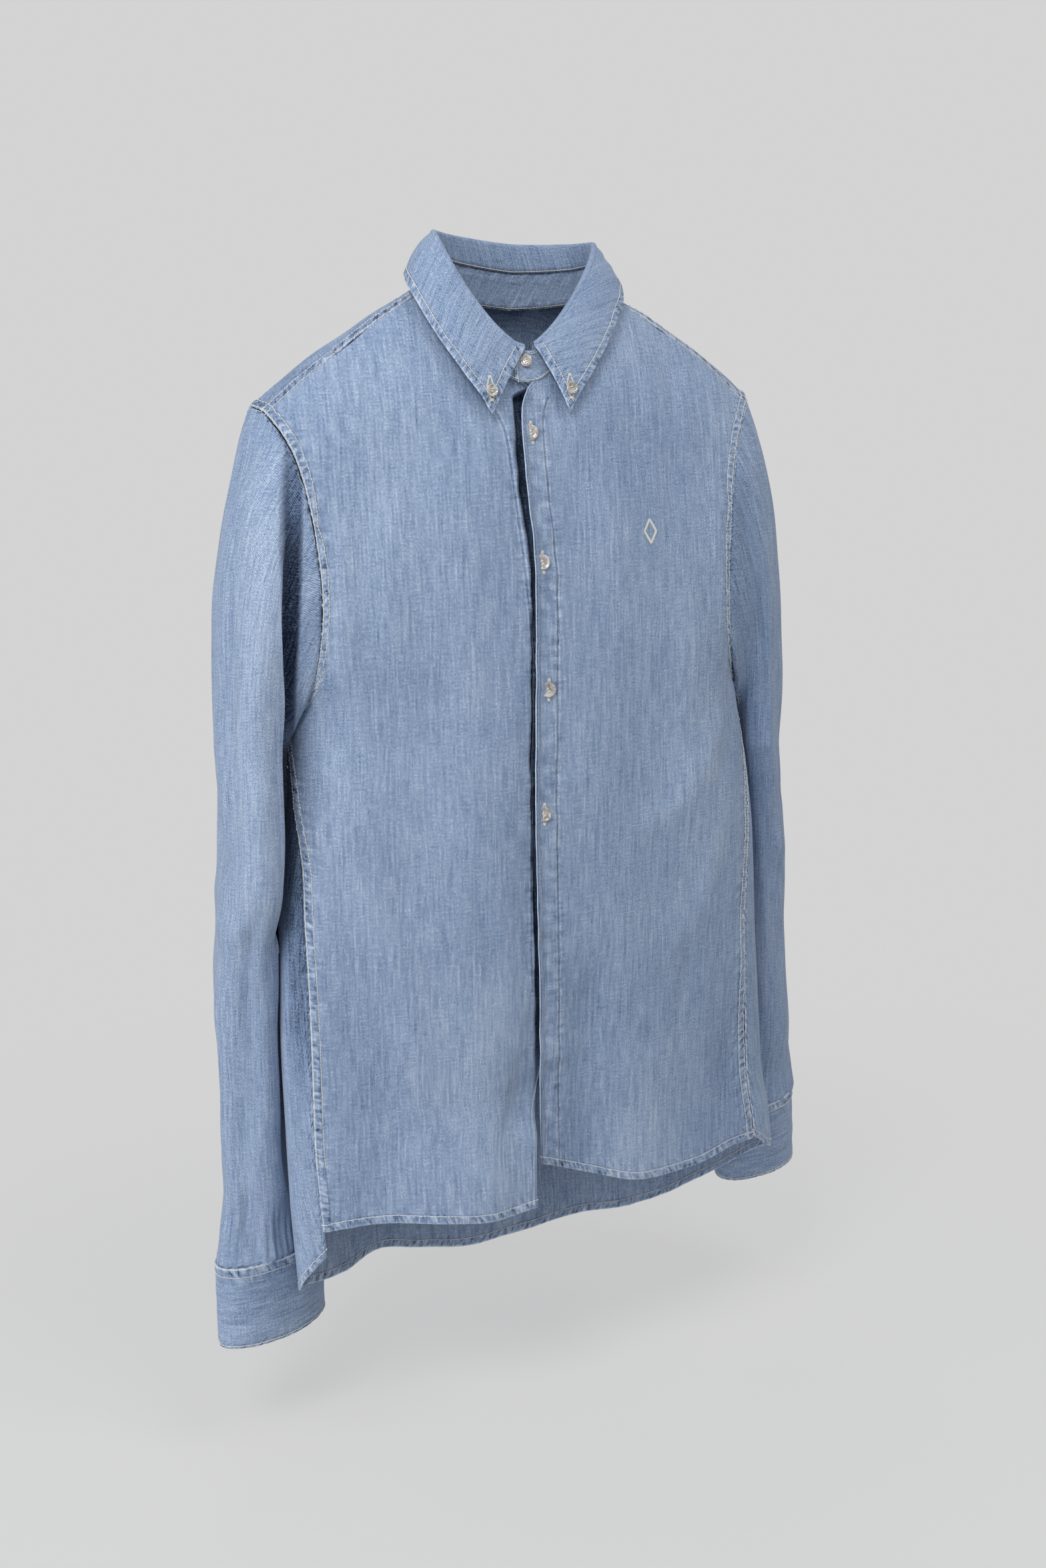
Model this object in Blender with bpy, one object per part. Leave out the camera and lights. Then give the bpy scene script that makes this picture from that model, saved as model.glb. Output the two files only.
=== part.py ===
"""A long-sleeved button-down chambray shirt, filled out as if worn, with nobody in it.

X is toward the wearer's left, Y toward the back and Z up. The origin is in the middle of the neck,
level with the top of the shoulders, where the wearer carries the shirt.
"""

import math

import bmesh
import bpy
from mathutils import Vector

# Cloth
WALL = 0.0014  # cloth with its seam allowances
SEAM_GAP = 0.0007  # between two pieces that are sewn edge to edge
NECK_GAP = 0.0010  # at the two seams of the collar
LAP_GAP = 0.0010  # between two layers that lie on each other
SQUARENESS = 0.86  # 1 is an ellipse, less is a squarer body

# Front closing
LAP_FADE = 0.050  # width over which the right front comes back level with the left

# Neck and collar
NECK_HALF_WIDTH = 0.068
NECK_FRONT = 0.060
NECK_BACK = 0.050
NECK_MIDDLE_FRONT = -0.007  # where the middle of the neck lies across, at the front
NECK_MIDDLE_BACK = 0.012  # and at the back
STAND_LEAN = 0.0050  # how far the top of the stand leans in
ROLL = 0.0025  # radius of the leaf's fold
STAND_ENDS = (11, -368)  # degrees round the neck, from the under end to the top end
STAND_LAP = 13  # degrees over which the ends part
NECK_REACH = {-1: -11, 1: -8}  # degrees from the closing at which each front's neck edge starts
LEAF_ENDS = (5.5, 0.5)  # degrees from the closing at which the leaf's left and right ends start

# Shoulders, body and sleeves
ARMPIT = -0.305
YOKE_BACK_CENTRE = -0.088
CUFF_HEIGHT = 0.061
CUFF_EASE = 0.0012  # how far the cuff stands outside the end of the sleeve
CUFF_WALL = 0.0022
PLACKET_LENGTH = 0.120

# Buttons
FRONT_BUTTON = 0.0112  # diameter
COLLAR_BUTTON = 0.0086
CUFF_BUTTON = 0.0112
BUTTON_THICK = 0.0026
BUTTON_LIFT = 0.0004  # between a button and the cloth under it
FIRST_BUTTON = -0.108
BUTTON_STEP = 0.0893
FRONT_BUTTONS = 5

# How the shirt hangs
TURN = 0.20  # metres that it is turned toward the wearer's right, per metre of depth
TILT = 0.024  # metres that the wearer's left shoulder is higher, per metre across

CLOTH = (0.246, 0.372, 0.604)
PEARL = (0.780, 0.735, 0.670)


def table(columns, *rows):
    """A short table as {column name: its values}. The first column is the one that it is read by."""
    return {name: [row[k] for row in rows] for k, name in enumerate(columns.split())}


# The body below the armpits: its width from the middle to each side, and where the side seam lies, in degrees
# from the closing
BODY = table(
    "height right left seam",
    (-0.760, 0.187, 0.212, 61),
    (-0.690, 0.193, 0.222, 61),
    (-0.655, 0.196, 0.219, 61),
    (-0.610, 0.198, 0.210, 62),
    (-0.500, 0.197, 0.203, 63),
    (-0.440, 0.192, 0.201, 66),
    (-0.400, 0.185, 0.200, 70),
    (-0.350, 0.180, 0.194, 80),
    (-0.305, 0.178, 0.184, 90),
)

# The closing: where the buttons and the edges of the two fronts lie across, and how far forward they are
CLOSING = table(
    "height buttons left_edge right_edge depth",
    (-0.700, 0.004, -0.003, -0.006, 0.050),
    (-0.650, 0.003, -0.003, -0.001, 0.053),
    (-0.600, 0.002, -0.005, 0.007, 0.056),
    (-0.520, 0.000, -0.007, 0.012, 0.063),
    (-0.457, -0.006, -0.009, 0.011, 0.068),
    (-0.373, -0.003, -0.011, 0.012, 0.073),
    (-0.286, 0.001, -0.010, 0.014, 0.076),
    (-0.198, -0.002, -0.009, 0.012, 0.075),
    (-0.130, -0.006, -0.014, 0.009, 0.070),
    (-0.072, -0.007, -0.015, 0.007, 0.060),
)

CENTRE_BACK = table(
    "height depth",
    (-0.760, 0.043),
    (-0.600, 0.051),
    (-0.500, 0.058),
    (-0.350, 0.069),
    (-0.250, 0.076),
    (-0.150, 0.077),
    (-0.088, 0.070),
)

# Armhole, in degrees from the shoulder point, forward and under the arm. Its lowest point is the side seam's top.
ARMHOLE = table(
    "turn across depth height",
    (0, 0.200, 0.004, -0.082),
    (25, 0.191, -0.018, -0.090),
    (60, 0.174, -0.038, -0.122),
    (90, 0.164, -0.049, -0.175),
    (120, 0.161, -0.051, -0.230),
    (150, 0.168, -0.038, -0.280),
    (210, 0.180, 0.022, -0.292),
    (235, 0.173, 0.042, -0.250),
    (260, 0.163, 0.053, -0.195),
    (290, 0.166, 0.051, -0.150),
    (315, 0.177, 0.041, -0.120),
    (340, 0.191, 0.023, -0.095),
    (360, 0.200, 0.004, -0.082),
)
UNDER_ARM = 0.181  # half the body's width at the armpit, for which the rows next to it are given
FRONT_YOKE_TURN = 25
BACK_YOKE_TURN = 315

# The neck edge of the fronts and yoke, the top of the stand, and the leaf's roll, by degrees from the closing
NECK = table(
    "turn seam_height stand_height roll_height",
    (0, -0.0720, -0.0515, -0.0475),
    (8, -0.0705, -0.0505, -0.0440),
    (22, -0.0600, -0.0370, -0.0310),
    (40, -0.043, -0.0160, -0.0100),
    (60, -0.021, 0.0030, 0.0130),
    (75, -0.008, 0.0130, 0.0260),
    (90, -0.001, 0.0180, 0.0330),
    (135, -0.009, 0.0170, 0.0350),
    (180, -0.013, 0.0145, 0.0340),
)

# The leaf's outer edge, from its front corner (0) to the middle of the back (180)
LEAF_EDGE = table(
    "turn across depth height",
    (0, 0.0300, -0.0705, -0.0950),
    (12, 0.0380, -0.0690, -0.0820),
    (28, 0.0510, -0.0630, -0.0650),
    (45, 0.0675, -0.0500, -0.0410),
    (62, 0.0820, -0.0300, -0.0150),
    (80, 0.0870, -0.0060, -0.0010),
    (100, 0.0830, 0.0200, 0.0040),
    (125, 0.0680, 0.0420, 0.0030),
    (150, 0.0420, 0.0570, 0.0010),
    (180, 0.0000, 0.0630, 0.0000),
)

# Hems, by share of the way from the closing (or the middle of the back) to the side seam
HEM_FRONT = table(
    "share right left",
    (0.00, -0.680, -0.653),
    (0.10, -0.682, -0.659),
    (0.30, -0.678, -0.672),
    (0.55, -0.675, -0.683),
    (0.78, -0.673, -0.677),
    (1.00, -0.677, -0.667),
)
HEM_BACK = table(
    "share right left",
    (0.00, -0.742, -0.742),
    (0.30, -0.740, -0.739),
    (0.50, -0.736, -0.724),
    (0.75, -0.738, -0.699),
    (0.90, -0.726, -0.681),
    (1.00, -0.677, -0.667),
)

# The parting of the fronts below the last button: how far each is pushed forward or back at the closing
PARTING = table(
    "height right left",
    (-0.700, -0.013, 0.009),
    (-0.620, -0.009, 0.006),
    (-0.560, -0.003, 0.002),
    (-0.500, 0.000, 0.000),
)

# Sleeves from the cuff seam to the armpit: centre and half width (across and front to back) at each level
SLEEVE_RIGHT = table(
    "height across depth half_across half_depth",
    (-0.710, 0.2060, 0.043, 0.036, 0.032),
    (-0.668, 0.2080, 0.046, 0.033, 0.040),
    (-0.600, 0.2110, 0.044, 0.030, 0.043),
    (-0.510, 0.2120, 0.032, 0.027, 0.047),
    (-0.430, 0.2110, 0.016, 0.024, 0.053),
    (-0.350, 0.2090, 0.008, 0.023, 0.056),
)
SLEEVE_LEFT = table(
    "height across depth half_across half_depth",
    (-0.671, 0.2380, 0.062, 0.036, 0.032),
    (-0.630, 0.2390, 0.068, 0.034, 0.040),
    (-0.580, 0.2390, 0.068, 0.030, 0.043),
    (-0.510, 0.2330, 0.060, 0.026, 0.047),
    (-0.430, 0.2240, 0.044, 0.023, 0.053),
    (-0.350, 0.2150, 0.026, 0.022, 0.056),
)
SLEEVE_CLEAR = 0.0040  # from the body
CUFF_LONG = 0.0455  # half widths of the cuff, which is flattened and turned
CUFF_SHORT = 0.027
CUFF_TURNED = math.radians(25)
CUFF_BLEND = 0.07  # height over which the sleeve takes on the cuff's shape
CUFF_OPENING = {-1: 112, 1: 66}  # degrees round each arm, from the wearer's left toward the back
CUFF_LAP = 42  # degrees over which a cuff's ends lap

# Shares of the way from the closing to the side at which the fronts are drawn, closer together at the lap
FRONT_COLUMNS = (0.0, 0.013, 0.028, 0.046, 0.075, 0.12, 0.20, 0.31, 0.44, 0.57, 0.71, 0.85, 1.0)
BACK_COLUMNS = (0.0, 0.14, 0.28, 0.42, 0.55, 0.67, 0.78, 0.89, 1.0)
LOWER_ROWS = 7
CHEST_ROWS = 4
NECK_LEVELS = (0.09, 0.20, 0.40, 0.68, 1.0)  # shares of the way up the neck edge, closer together at its pit
BACK_ARMHOLE_ROWS = 6
YOKE_COLUMNS = 8
SHOULDER_ROWS = 6
SLEEVE_ROWS = 6
CAP_ROWS = 5
CUFF_COLUMNS = 26
COLLAR_COLUMNS = (0, 8, 16, 24, 34, 46, 60, 76, 92, 110, 130, 155, 180)  # degrees from the closing
LEAF_RISE = 0.14  # share of the leaf, from the stand, that rises inside the neck
LEAF_FOLD = 0.30  # share at which its fold ends
PLACKET_ROWS = 4
PLACKET_TURN = 290  # degrees round the sleeve, from its outer side toward the front
PLACKET_TURNS = 32
BUTTON_SIDES = 12


SIDES = {-1: "right", 1: "left"}


def mix(a, b, share):
    return a + (b - a) * share


def ease(x, start, end):
    """0 before start, 1 after end and a smooth change between."""
    share = min(1.0, max(0.0, (x - start) / (end - start)))
    return share * share * (3 - 2 * share)


def read(rows, column, at):
    """A smooth value of one column of a table, held at the table's ends."""
    places = next(iter(rows.values()))
    values = rows[column]
    if at <= places[0]:
        return values[0]
    if at >= places[-1]:
        return values[-1]
    k = max(i for i, place in enumerate(places) if place <= at)
    width = places[k + 1] - places[k]
    share = (at - places[k]) / width

    def slope(i):
        if i in (0, len(places) - 1):
            j = min(i, len(places) - 2)
            return (values[j + 1] - values[j]) / (places[j + 1] - places[j])
        return (values[i + 1] - values[i - 1]) / (places[i + 1] - places[i - 1])

    square, cube = share * share, share**3
    return (
        values[k] * (2 * cube - 3 * square + 1)
        + values[k + 1] * (3 * square - 2 * cube)
        + width * slope(k) * (cube - 2 * square + share)
        + width * slope(k + 1) * (cube - square)
    )


def swing(angle):
    """(sideways, forward) shares of a slightly squared arc: 0 degrees is its middle and 90 its widest point."""
    s, c = math.sin(angle), math.cos(angle)
    return abs(s) ** SQUARENESS, math.copysign(abs(c) ** SQUARENESS, c)


def arc_point(inner, outer, sweep, share):
    """A point on the cloth's curve from an inner edge, which it leaves squarely, to an outer edge."""
    sideways, forward = swing(sweep * share)
    all_sideways, all_forward = swing(sweep)
    return Vector(
        (
            mix(inner.x, outer.x, sideways / all_sideways),
            mix(outer.y, inner.y, (forward - all_forward) / (1 - all_forward)),
            mix(inner.z, outer.z, share),
        )
    )


def turned(point):
    """The point as it hangs, with the front turned toward the wearer's right and the left shoulder higher."""
    lift = TILT * point.x * ease(point.z, -0.35, -0.12)
    return Vector((point.x + TURN * point.y, point.y, point.z + lift))


# Lines that pieces share


def side_seam(side, height):
    angle = math.radians(read(BODY, "seam", height))
    sideways, forward = swing(angle)
    across = side * read(BODY, SIDES[side], height) * sideways
    return Vector((across, -read(CLOSING, "depth", height) * forward, height))


def armhole(side, turn):
    lowest = side_seam(side, ARMPIT)
    rows = {name: list(values) for name, values in ARMHOLE.items()}
    place = rows["turn"].index(210)
    low_row = {"turn": 180, "across": abs(lowest.x), "depth": lowest.y, "height": lowest.z}
    for name, values in rows.items():
        values.insert(place, low_row[name])
    across, depth, height = (read(rows, name, turn) for name in ("across", "depth", "height"))
    under_arm = ((1 - math.cos(math.radians(turn))) / 2) ** 4
    across += (abs(lowest.x) - UNDER_ARM) * under_arm * (turn != 180)
    return Vector((side * across, depth, height))


def neck_point(turn, column, outward=0.0):
    """A point round the neck, in degrees from the closing toward the wearer's left, at the height in a column of NECK."""
    angle = math.radians(turn)
    folded = abs((turn + 180) % 360 - 180)
    depth = NECK_FRONT if math.cos(angle) > 0 else NECK_BACK
    middle = mix(NECK_MIDDLE_BACK, NECK_MIDDLE_FRONT, (1 + math.cos(angle)) / 2)
    across = middle + (NECK_HALF_WIDTH + outward) * math.sin(angle)
    return Vector((across, -(depth + outward) * math.cos(angle), read(NECK, column, folded)))


def yoke_front(side, share):
    """The seam between front and yoke, from the neck to the armhole."""
    inner = neck_point(side * 78, "seam_height")
    outer = armhole(side, FRONT_YOKE_TURN)
    crown = Vector((0, -0.002, 0.006))
    return inner.lerp(outer, share) + crown * 4 * share * (1 - share)


def yoke_back(side, share):
    """The seam between back and yoke, from the middle of the back to the armhole."""
    inner = Vector((0, read(CENTRE_BACK, "depth", YOKE_BACK_CENTRE), YOKE_BACK_CENTRE))
    return arc_point(inner, armhole(side, BACK_YOKE_TURN), math.radians(62), share)


# Panels, as functions of two shares


def closing_point(side, height):
    """The edge of a front at one level. The left front laps over the right."""
    return Vector((read(CLOSING, SIDES[side] + "_edge", height), -read(CLOSING, "depth", height), height))


def parted(side, point, edge):
    """The point of a front, moved under the other front or apart from it below the last button."""
    away = abs(point.x - edge)
    back = read(PARTING, "left", point.z)
    if side > 0:
        point.y += back * (1 - ease(away, 0.01, 0.13))
        return point
    lapped = 1 - ease(away, 0.020, 0.036)
    point.y += (WALL + LAP_GAP) * (1 - ease(away, 0.02, LAP_FADE))
    point.y += back * lapped + read(PARTING, "right", point.z) * (1 - lapped) * (1 - ease(away, 0.04, 0.14))
    return point


def front_point(side, share, level):
    """A point of a front. Level 0 is the hem, 1 the armpit, 2 the pit of the neck and 3 the yoke seam."""
    if level <= 1:
        hem = read(HEM_FRONT, SIDES[side], share)
        height = mix(hem, ARMPIT, level)
        inner, outer = closing_point(side, height), side_seam(side, height)
        sweep = math.radians(read(BODY, "seam", height))
    elif level <= 2:
        height = mix(ARMPIT, NECK["seam_height"][0], level - 1)
        inner, outer = closing_point(side, height), armhole(side, mix(180, 88, level - 1))
        sweep = math.radians(mix(read(BODY, "seam", ARMPIT), 52, level - 1))
    else:
        inner = neck_point(side * mix(NECK_REACH[side], 78, level - 2), "seam_height")
        outer = armhole(side, mix(88, FRONT_YOKE_TURN, level - 2))
        sweep = math.radians(mix(52, 30, level - 2))
    point = arc_point(inner, outer, sweep, share)
    if level > 2:
        point = point.lerp(yoke_row(side, share, level), ease(level, 2, 3))
    if level > 2:
        return parted_neck(side, point, share, level)
    lower = read(CLOSING, "depth", point.z) - read(CLOSING, "depth", inner.z)
    point.y -= lower * (1 - ease(share, 0.1, 0.5))
    return parted(side, point, inner.x)


def yoke_row(side, share, level):
    """The line that the upper rows of a front come to, shaped like the yoke seam."""
    inner = neck_point(side * mix(NECK_REACH[side], 78, level - 2), "seam_height")
    outer = armhole(side, mix(88, FRONT_YOKE_TURN, level - 2))
    seam = yoke_front(side, share)
    return seam + inner.lerp(outer, share) - yoke_front(side, 0).lerp(yoke_front(side, 1), share)


def parted_neck(side, point, share, level):
    """The right front stays under the left one up to the neck seam."""
    if side < 0:
        point.y += (WALL + LAP_GAP) * (1 - ease(share, 0.04, 0.3)) * (1 - ease(level, 2.25, 2.75))
    return point


def back_point(side, share, level):
    """A point of the back. Level 0 is the hem, 1 the armpit and 2 the yoke seam."""
    if level <= 1:
        hem = read(HEM_BACK, SIDES[side], share)
        height = mix(hem, ARMPIT, level)
        outer = side_seam(side, height)
        sweep = math.radians(180 - read(BODY, "seam", height))
    else:
        height = mix(ARMPIT, YOKE_BACK_CENTRE, level - 1)
        outer = armhole(side, mix(180, BACK_YOKE_TURN, level - 1))
        low_sweep = 180 - read(BODY, "seam", ARMPIT)
        sweep = math.radians(mix(low_sweep, 62, ease(level, 1.0, 1.75)))
    inner = Vector((0, read(CENTRE_BACK, "depth", height), height))
    return arc_point(inner, outer, sweep, share)


def yoke_point(side, share, round_neck):
    """A point of one half of the yoke. round_neck 0 is the front seam, 1 the armhole's back corner, 2 the middle back."""
    if round_neck <= 1:
        inner = neck_point(side * mix(78, 128, round_neck), "seam_height")
        outer = armhole(side, mix(FRONT_YOKE_TURN, BACK_YOKE_TURN - 360, round_neck) % 360)
    else:
        inner = neck_point(side * mix(128, 180, round_neck - 1), "seam_height")
        outer = yoke_back(side, 2 - round_neck)
    crown = Vector((0, -0.002, 0.006)).lerp(Vector((0, 0.007, 0.009)), ease(round_neck, 0, 1.6))
    return inner.lerp(outer, share) + crown * 4 * share * (1 - share)


def sleeve_rows(side):
    return SLEEVE_LEFT if side > 0 else SLEEVE_RIGHT


def cuff_centre(side):
    rows = sleeve_rows(side)
    return Vector((side * rows["across"][0], rows["depth"][0], rows["height"][0]))


def cuff_oval(direction, outward):
    """The offset from the cuff's centre to its outline, in a direction in degrees from the wearer's left to the back."""
    turn = math.radians(direction) - CUFF_TURNED
    around = math.atan2(CUFF_LONG * math.sin(turn), CUFF_SHORT * math.cos(turn))
    long_side = (CUFF_LONG + outward) * math.cos(around)
    short_side = (CUFF_SHORT + outward) * math.sin(around)
    c, s = math.cos(CUFF_TURNED), math.sin(CUFF_TURNED)
    return Vector((long_side * c - short_side * s, long_side * s + short_side * c, 0))


def sleeve_ring(side, height, turn):
    """A point round a sleeve below the armpit. Turn 0 is its outer side, 90 its front and 180 its inner side."""
    rows = sleeve_rows(side)
    across, depth, half_across, half_depth = (
        read(rows, name, height) for name in ("across", "depth", "half_across", "half_depth")
    )
    angle = math.radians(turn)
    offset = Vector((side * half_across * math.cos(angle), -half_depth * math.sin(angle), 0))
    direction = math.degrees(math.atan2(offset.y, offset.x))
    near_cuff = 1 - ease(height, rows["height"][0], rows["height"][0] + CUFF_BLEND)
    offset = offset.lerp(cuff_oval(direction, 0), near_cuff)
    return clear_of_body(side, Vector((side * across, depth, height)) + offset)


def clear_of_body(side, point, share=1.0):
    """The point, pushed out sideways where the body would be in its way. Share 0 is on the armhole, and stays."""
    level = min(point.z, ARMPIT)
    depth = read(CLOSING, "depth", level) if point.y < 0 else read(CENTRE_BACK, "depth", level)
    inside = max(0.0, 1 - (abs(point.y) / depth) ** (2 / SQUARENESS))
    half_width = read(BODY, SIDES[side], level) - 0.35 * max(0, point.z - ARMPIT)
    half_width = half_width * inside ** (SQUARENESS / 2) + SLEEVE_CLEAR
    if abs(point.x) < half_width:
        pushed = side * mix(half_width, abs(point.x), 0.08)
        point.x = mix(point.x, pushed, ease(share, 0, 0.25))
    return point


def sleeve_cap_point(side, share, turn_at_armhole, turn_round_arm):
    """A point of the sleeve between the armhole and the first ring below the armpit."""
    start = armhole(side, turn_at_armhole)
    top_ring = sleeve_rows(side)["height"][-1]
    end = sleeve_ring(side, top_ring, turn_round_arm)
    length = (end - start).length
    out = 0.50 - 0.12 * math.cos(math.radians(2 * turn_at_armhole))
    leave = Vector((side * out, 0, -math.sqrt(1 - out * out))) * length
    arrive = Vector((0, 0, -1)) * length
    square, cube = share * share, share**3
    point = start * (2 * cube - 3 * square + 1) + end * (3 * square - 2 * cube)
    point += leave * (cube - 2 * square + share) + arrive * (cube - square)
    return clear_of_body(side, point, share)


# Walls of cloth


def pulled_in(grid, gap, edges):
    """The grid with the named edges drawn in by half a seam's gap, along the cloth."""
    last_row, last_column = len(grid) - 1, len(grid[0]) - 1
    if "first_column" in edges:
        for row in grid:
            row[0] = row[0] + (row[1] - row[0]).normalized() * gap
    if "last_column" in edges:
        for row in grid:
            row[last_column] = row[last_column] + (row[-2] - row[-1]).normalized() * gap
    if "first_row" in edges:
        grid[0] = [a + (b - a).normalized() * gap for a, b in zip(grid[0], grid[1])]
    if "last_row" in edges:
        grid[last_row] = [a + (b - a).normalized() * gap for a, b in zip(grid[-1], grid[-2])]
    return grid


def new_object(name, mesh_builder, colour, roughness):
    mesh = bpy.data.meshes.new(name)
    mesh_builder.to_mesh(mesh)
    mesh_builder.free()
    material = bpy.data.materials.new(name)
    material.use_nodes = True
    shader = material.node_tree.nodes["Principled BSDF"]
    shader.inputs["Base Color"].default_value = (*colour, 1)
    shader.inputs["Roughness"].default_value = roughness
    mesh.materials.append(material)
    obj = bpy.data.objects.new(name, mesh)
    bpy.context.scene.collection.objects.link(obj)
    mesh.shade_smooth()
    mesh.set_sharp_from_angle(angle=math.radians(40))
    return obj


def cloth(name, grid, closed_rows=False, thickness=WALL, colour=CLOTH):
    """A wall of cloth inside a grid of points on its right side. The rows of a tube are closed."""
    rows, columns = len(grid), len(grid[0])
    points = [[turned(p) for p in row] for row in grid]
    normals = [[Vector() for _ in range(columns)] for _ in range(rows)]
    spans = columns if closed_rows else columns - 1
    for i in range(rows - 1):
        for j in range(spans):
            k = (j + 1) % columns
            a, b, c, d = points[i][j], points[i][k], points[i + 1][k], points[i + 1][j]
            across = (c - a).cross(d - b)
            for r, s in ((i, j), (i, k), (i + 1, k), (i + 1, j)):
                normals[r][s] += across
    builder = bmesh.new()
    right = [[builder.verts.new(p) for p in row] for row in points]
    wrong = [
        [builder.verts.new(p - n.normalized() * thickness) for p, n in zip(row, row_normals)]
        for row, row_normals in zip(points, normals)
    ]
    for i in range(rows - 1):
        for j in range(spans):
            k = (j + 1) % columns
            builder.faces.new((right[i][j], right[i][k], right[i + 1][k], right[i + 1][j]))
            builder.faces.new((wrong[i][j], wrong[i + 1][j], wrong[i + 1][k], wrong[i][k]))
    for i, turn_over in ((0, False), (rows - 1, True)):
        for j in range(spans):
            k = (j + 1) % columns
            edge = (right[i][j], wrong[i][j], wrong[i][k], right[i][k])
            builder.faces.new(edge[::-1] if turn_over else edge)
    if not closed_rows:
        for j, turn_over in ((0, True), (columns - 1, False)):
            for i in range(rows - 1):
                edge = (right[i][j], wrong[i][j], wrong[i + 1][j], right[i + 1][j])
                builder.faces.new(edge[::-1] if turn_over else edge)
    return new_object(name, builder, colour, 0.9)


def shares(count):
    """Even shares from just above 0 up to 1."""
    return [(n + 1) / count for n in range(count)]


FRONT_LEVELS = [0, *shares(LOWER_ROWS), *(1 + n for n in shares(CHEST_ROWS)), *(2 + n for n in NECK_LEVELS)]
BACK_LEVELS = [0, *shares(LOWER_ROWS), *(1 + n for n in shares(BACK_ARMHOLE_ROWS))]


def make_fronts():
    for side, name in ((-1, "front_right"), (1, "front_left")):
        grid = [[front_point(side, share, level) for share in FRONT_COLUMNS] for level in FRONT_LEVELS]
        grid = pulled_in(grid, SEAM_GAP / 2, ("last_column", "last_row"))
        neck_rows = range(LOWER_ROWS + CHEST_ROWS, len(grid))
        for i in neck_rows:
            grid[i][0] = grid[i][0] + (grid[i][1] - grid[i][0]).normalized() * SEAM_GAP / 2
            grid[i][0].z -= SEAM_GAP / 2
        if side < 0:
            grid = [row[::-1] for row in grid]
        cloth(name, grid)


def make_back():
    half = [[back_point(1, share, level) for share in BACK_COLUMNS] for level in BACK_LEVELS]
    other = [[back_point(-1, share, level) for share in BACK_COLUMNS[1:]] for level in BACK_LEVELS]
    grid = [row[::-1] + mirrored for row, mirrored in zip(half, other)]
    cloth("back", pulled_in(grid, SEAM_GAP / 2, ("first_column", "last_column", "last_row")))


def make_yoke():
    across = [0, *shares(YOKE_COLUMNS)]
    round_neck = [0, *shares(SHOULDER_ROWS), *(2 - share for share in BACK_COLUMNS[-2::-1])]
    left = [[yoke_point(1, share, place) for share in across] for place in round_neck]
    right = [[yoke_point(-1, share, place) for share in across] for place in round_neck[:-1]]
    grid = left + right[::-1]
    grid = pulled_in(grid, SEAM_GAP / 2, ("first_column", "last_column", "first_row", "last_row"))
    cloth("yoke", grid)


def armhole_turns():
    """The turns at which the fronts, back and yoke meet the armhole, once round from the shoulder point."""
    yoke = [mix(FRONT_YOKE_TURN, BACK_YOKE_TURN - 360, share) % 360 for share in (0, *shares(SHOULDER_ROWS))]
    chest = [mix(180, 88, share) for share in (0, *shares(CHEST_ROWS))]
    upper = [mix(88, FRONT_YOKE_TURN, share) for share in NECK_LEVELS[:-1]]
    behind = [mix(180, BACK_YOKE_TURN, share) for share in shares(BACK_ARMHOLE_ROWS)[:-1]]
    return sorted(yoke + chest + upper + behind)


def sleeve_grid(side):
    """Rows of points from the armhole to the cuff seam. Each row runs once round the sleeve."""
    turns = armhole_turns()
    bottom_ring, top_ring = sleeve_rows(side)["height"][0], sleeve_rows(side)["height"][-1]
    around = [(n * 360 / len(turns) + turns[0]) for n in range(len(turns))]
    grid = []
    for n in range(CAP_ROWS):
        share = max(n / CAP_ROWS, 0.004)
        grid.append([sleeve_cap_point(side, share, a, b) for a, b in zip(turns, around)])
    for n in range(SLEEVE_ROWS + 1):
        height = mix(top_ring, bottom_ring, n / SLEEVE_ROWS)
        grid.append([sleeve_ring(side, height, b) for b in around])
    return grid


def cuff_point(side, share, below):
    """A point of a cuff. It laps over itself at the outer back, so its end lies outside its start."""
    step = -side
    opening = CUFF_OPENING[side] - step * CUFF_LAP / 2
    direction = opening + step * share * (360 + CUFF_LAP)
    lap_share = CUFF_LAP / (360 + CUFF_LAP)
    outward = CUFF_EASE + (CUFF_WALL + LAP_GAP) * ease(share, 1 - 1.9 * lap_share, 1 - 1.0 * lap_share)
    return cuff_centre(side) + cuff_oval(direction, outward) + Vector((0, 0, -below))


def make_sleeves():
    for side, word in ((-1, "right"), (1, "left")):
        grid = sleeve_grid(side)
        if side < 0:
            grid = [row[::-1] for row in grid]
        cloth("sleeve_" + word, grid, closed_rows=True)


def make_cuffs():
    for side in (-1, 1):
        drops = [SEAM_GAP + CUFF_HEIGHT * share for share in (0, 0.5, 1)]
        grid = [[cuff_point(side, share, drop) for share in (0, *shares(CUFF_COLUMNS))] for drop in drops]
        if side < 0:
            grid = [row[::-1] for row in grid]
        cloth("cuff_" + SIDES[side], grid, thickness=CUFF_WALL)


def stand_point(turn, up):
    """A point of the collar's stand, which runs from its under end round the right side and back to its top end."""
    start, end = STAND_ENDS
    inner_end = 1 - ease(-turn, -start, -start + 2 * STAND_LAP)
    outer_end = ease(-turn, -end - 2 * STAND_LAP, -end)
    outward = (WALL + LAP_GAP) / 2 * (outer_end - inner_end)
    low = neck_point(turn, "seam_height", outward)
    high = neck_point(turn, "stand_height", outward - STAND_LEAN)
    low.z += NECK_GAP
    return low.lerp(high, up)


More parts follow.
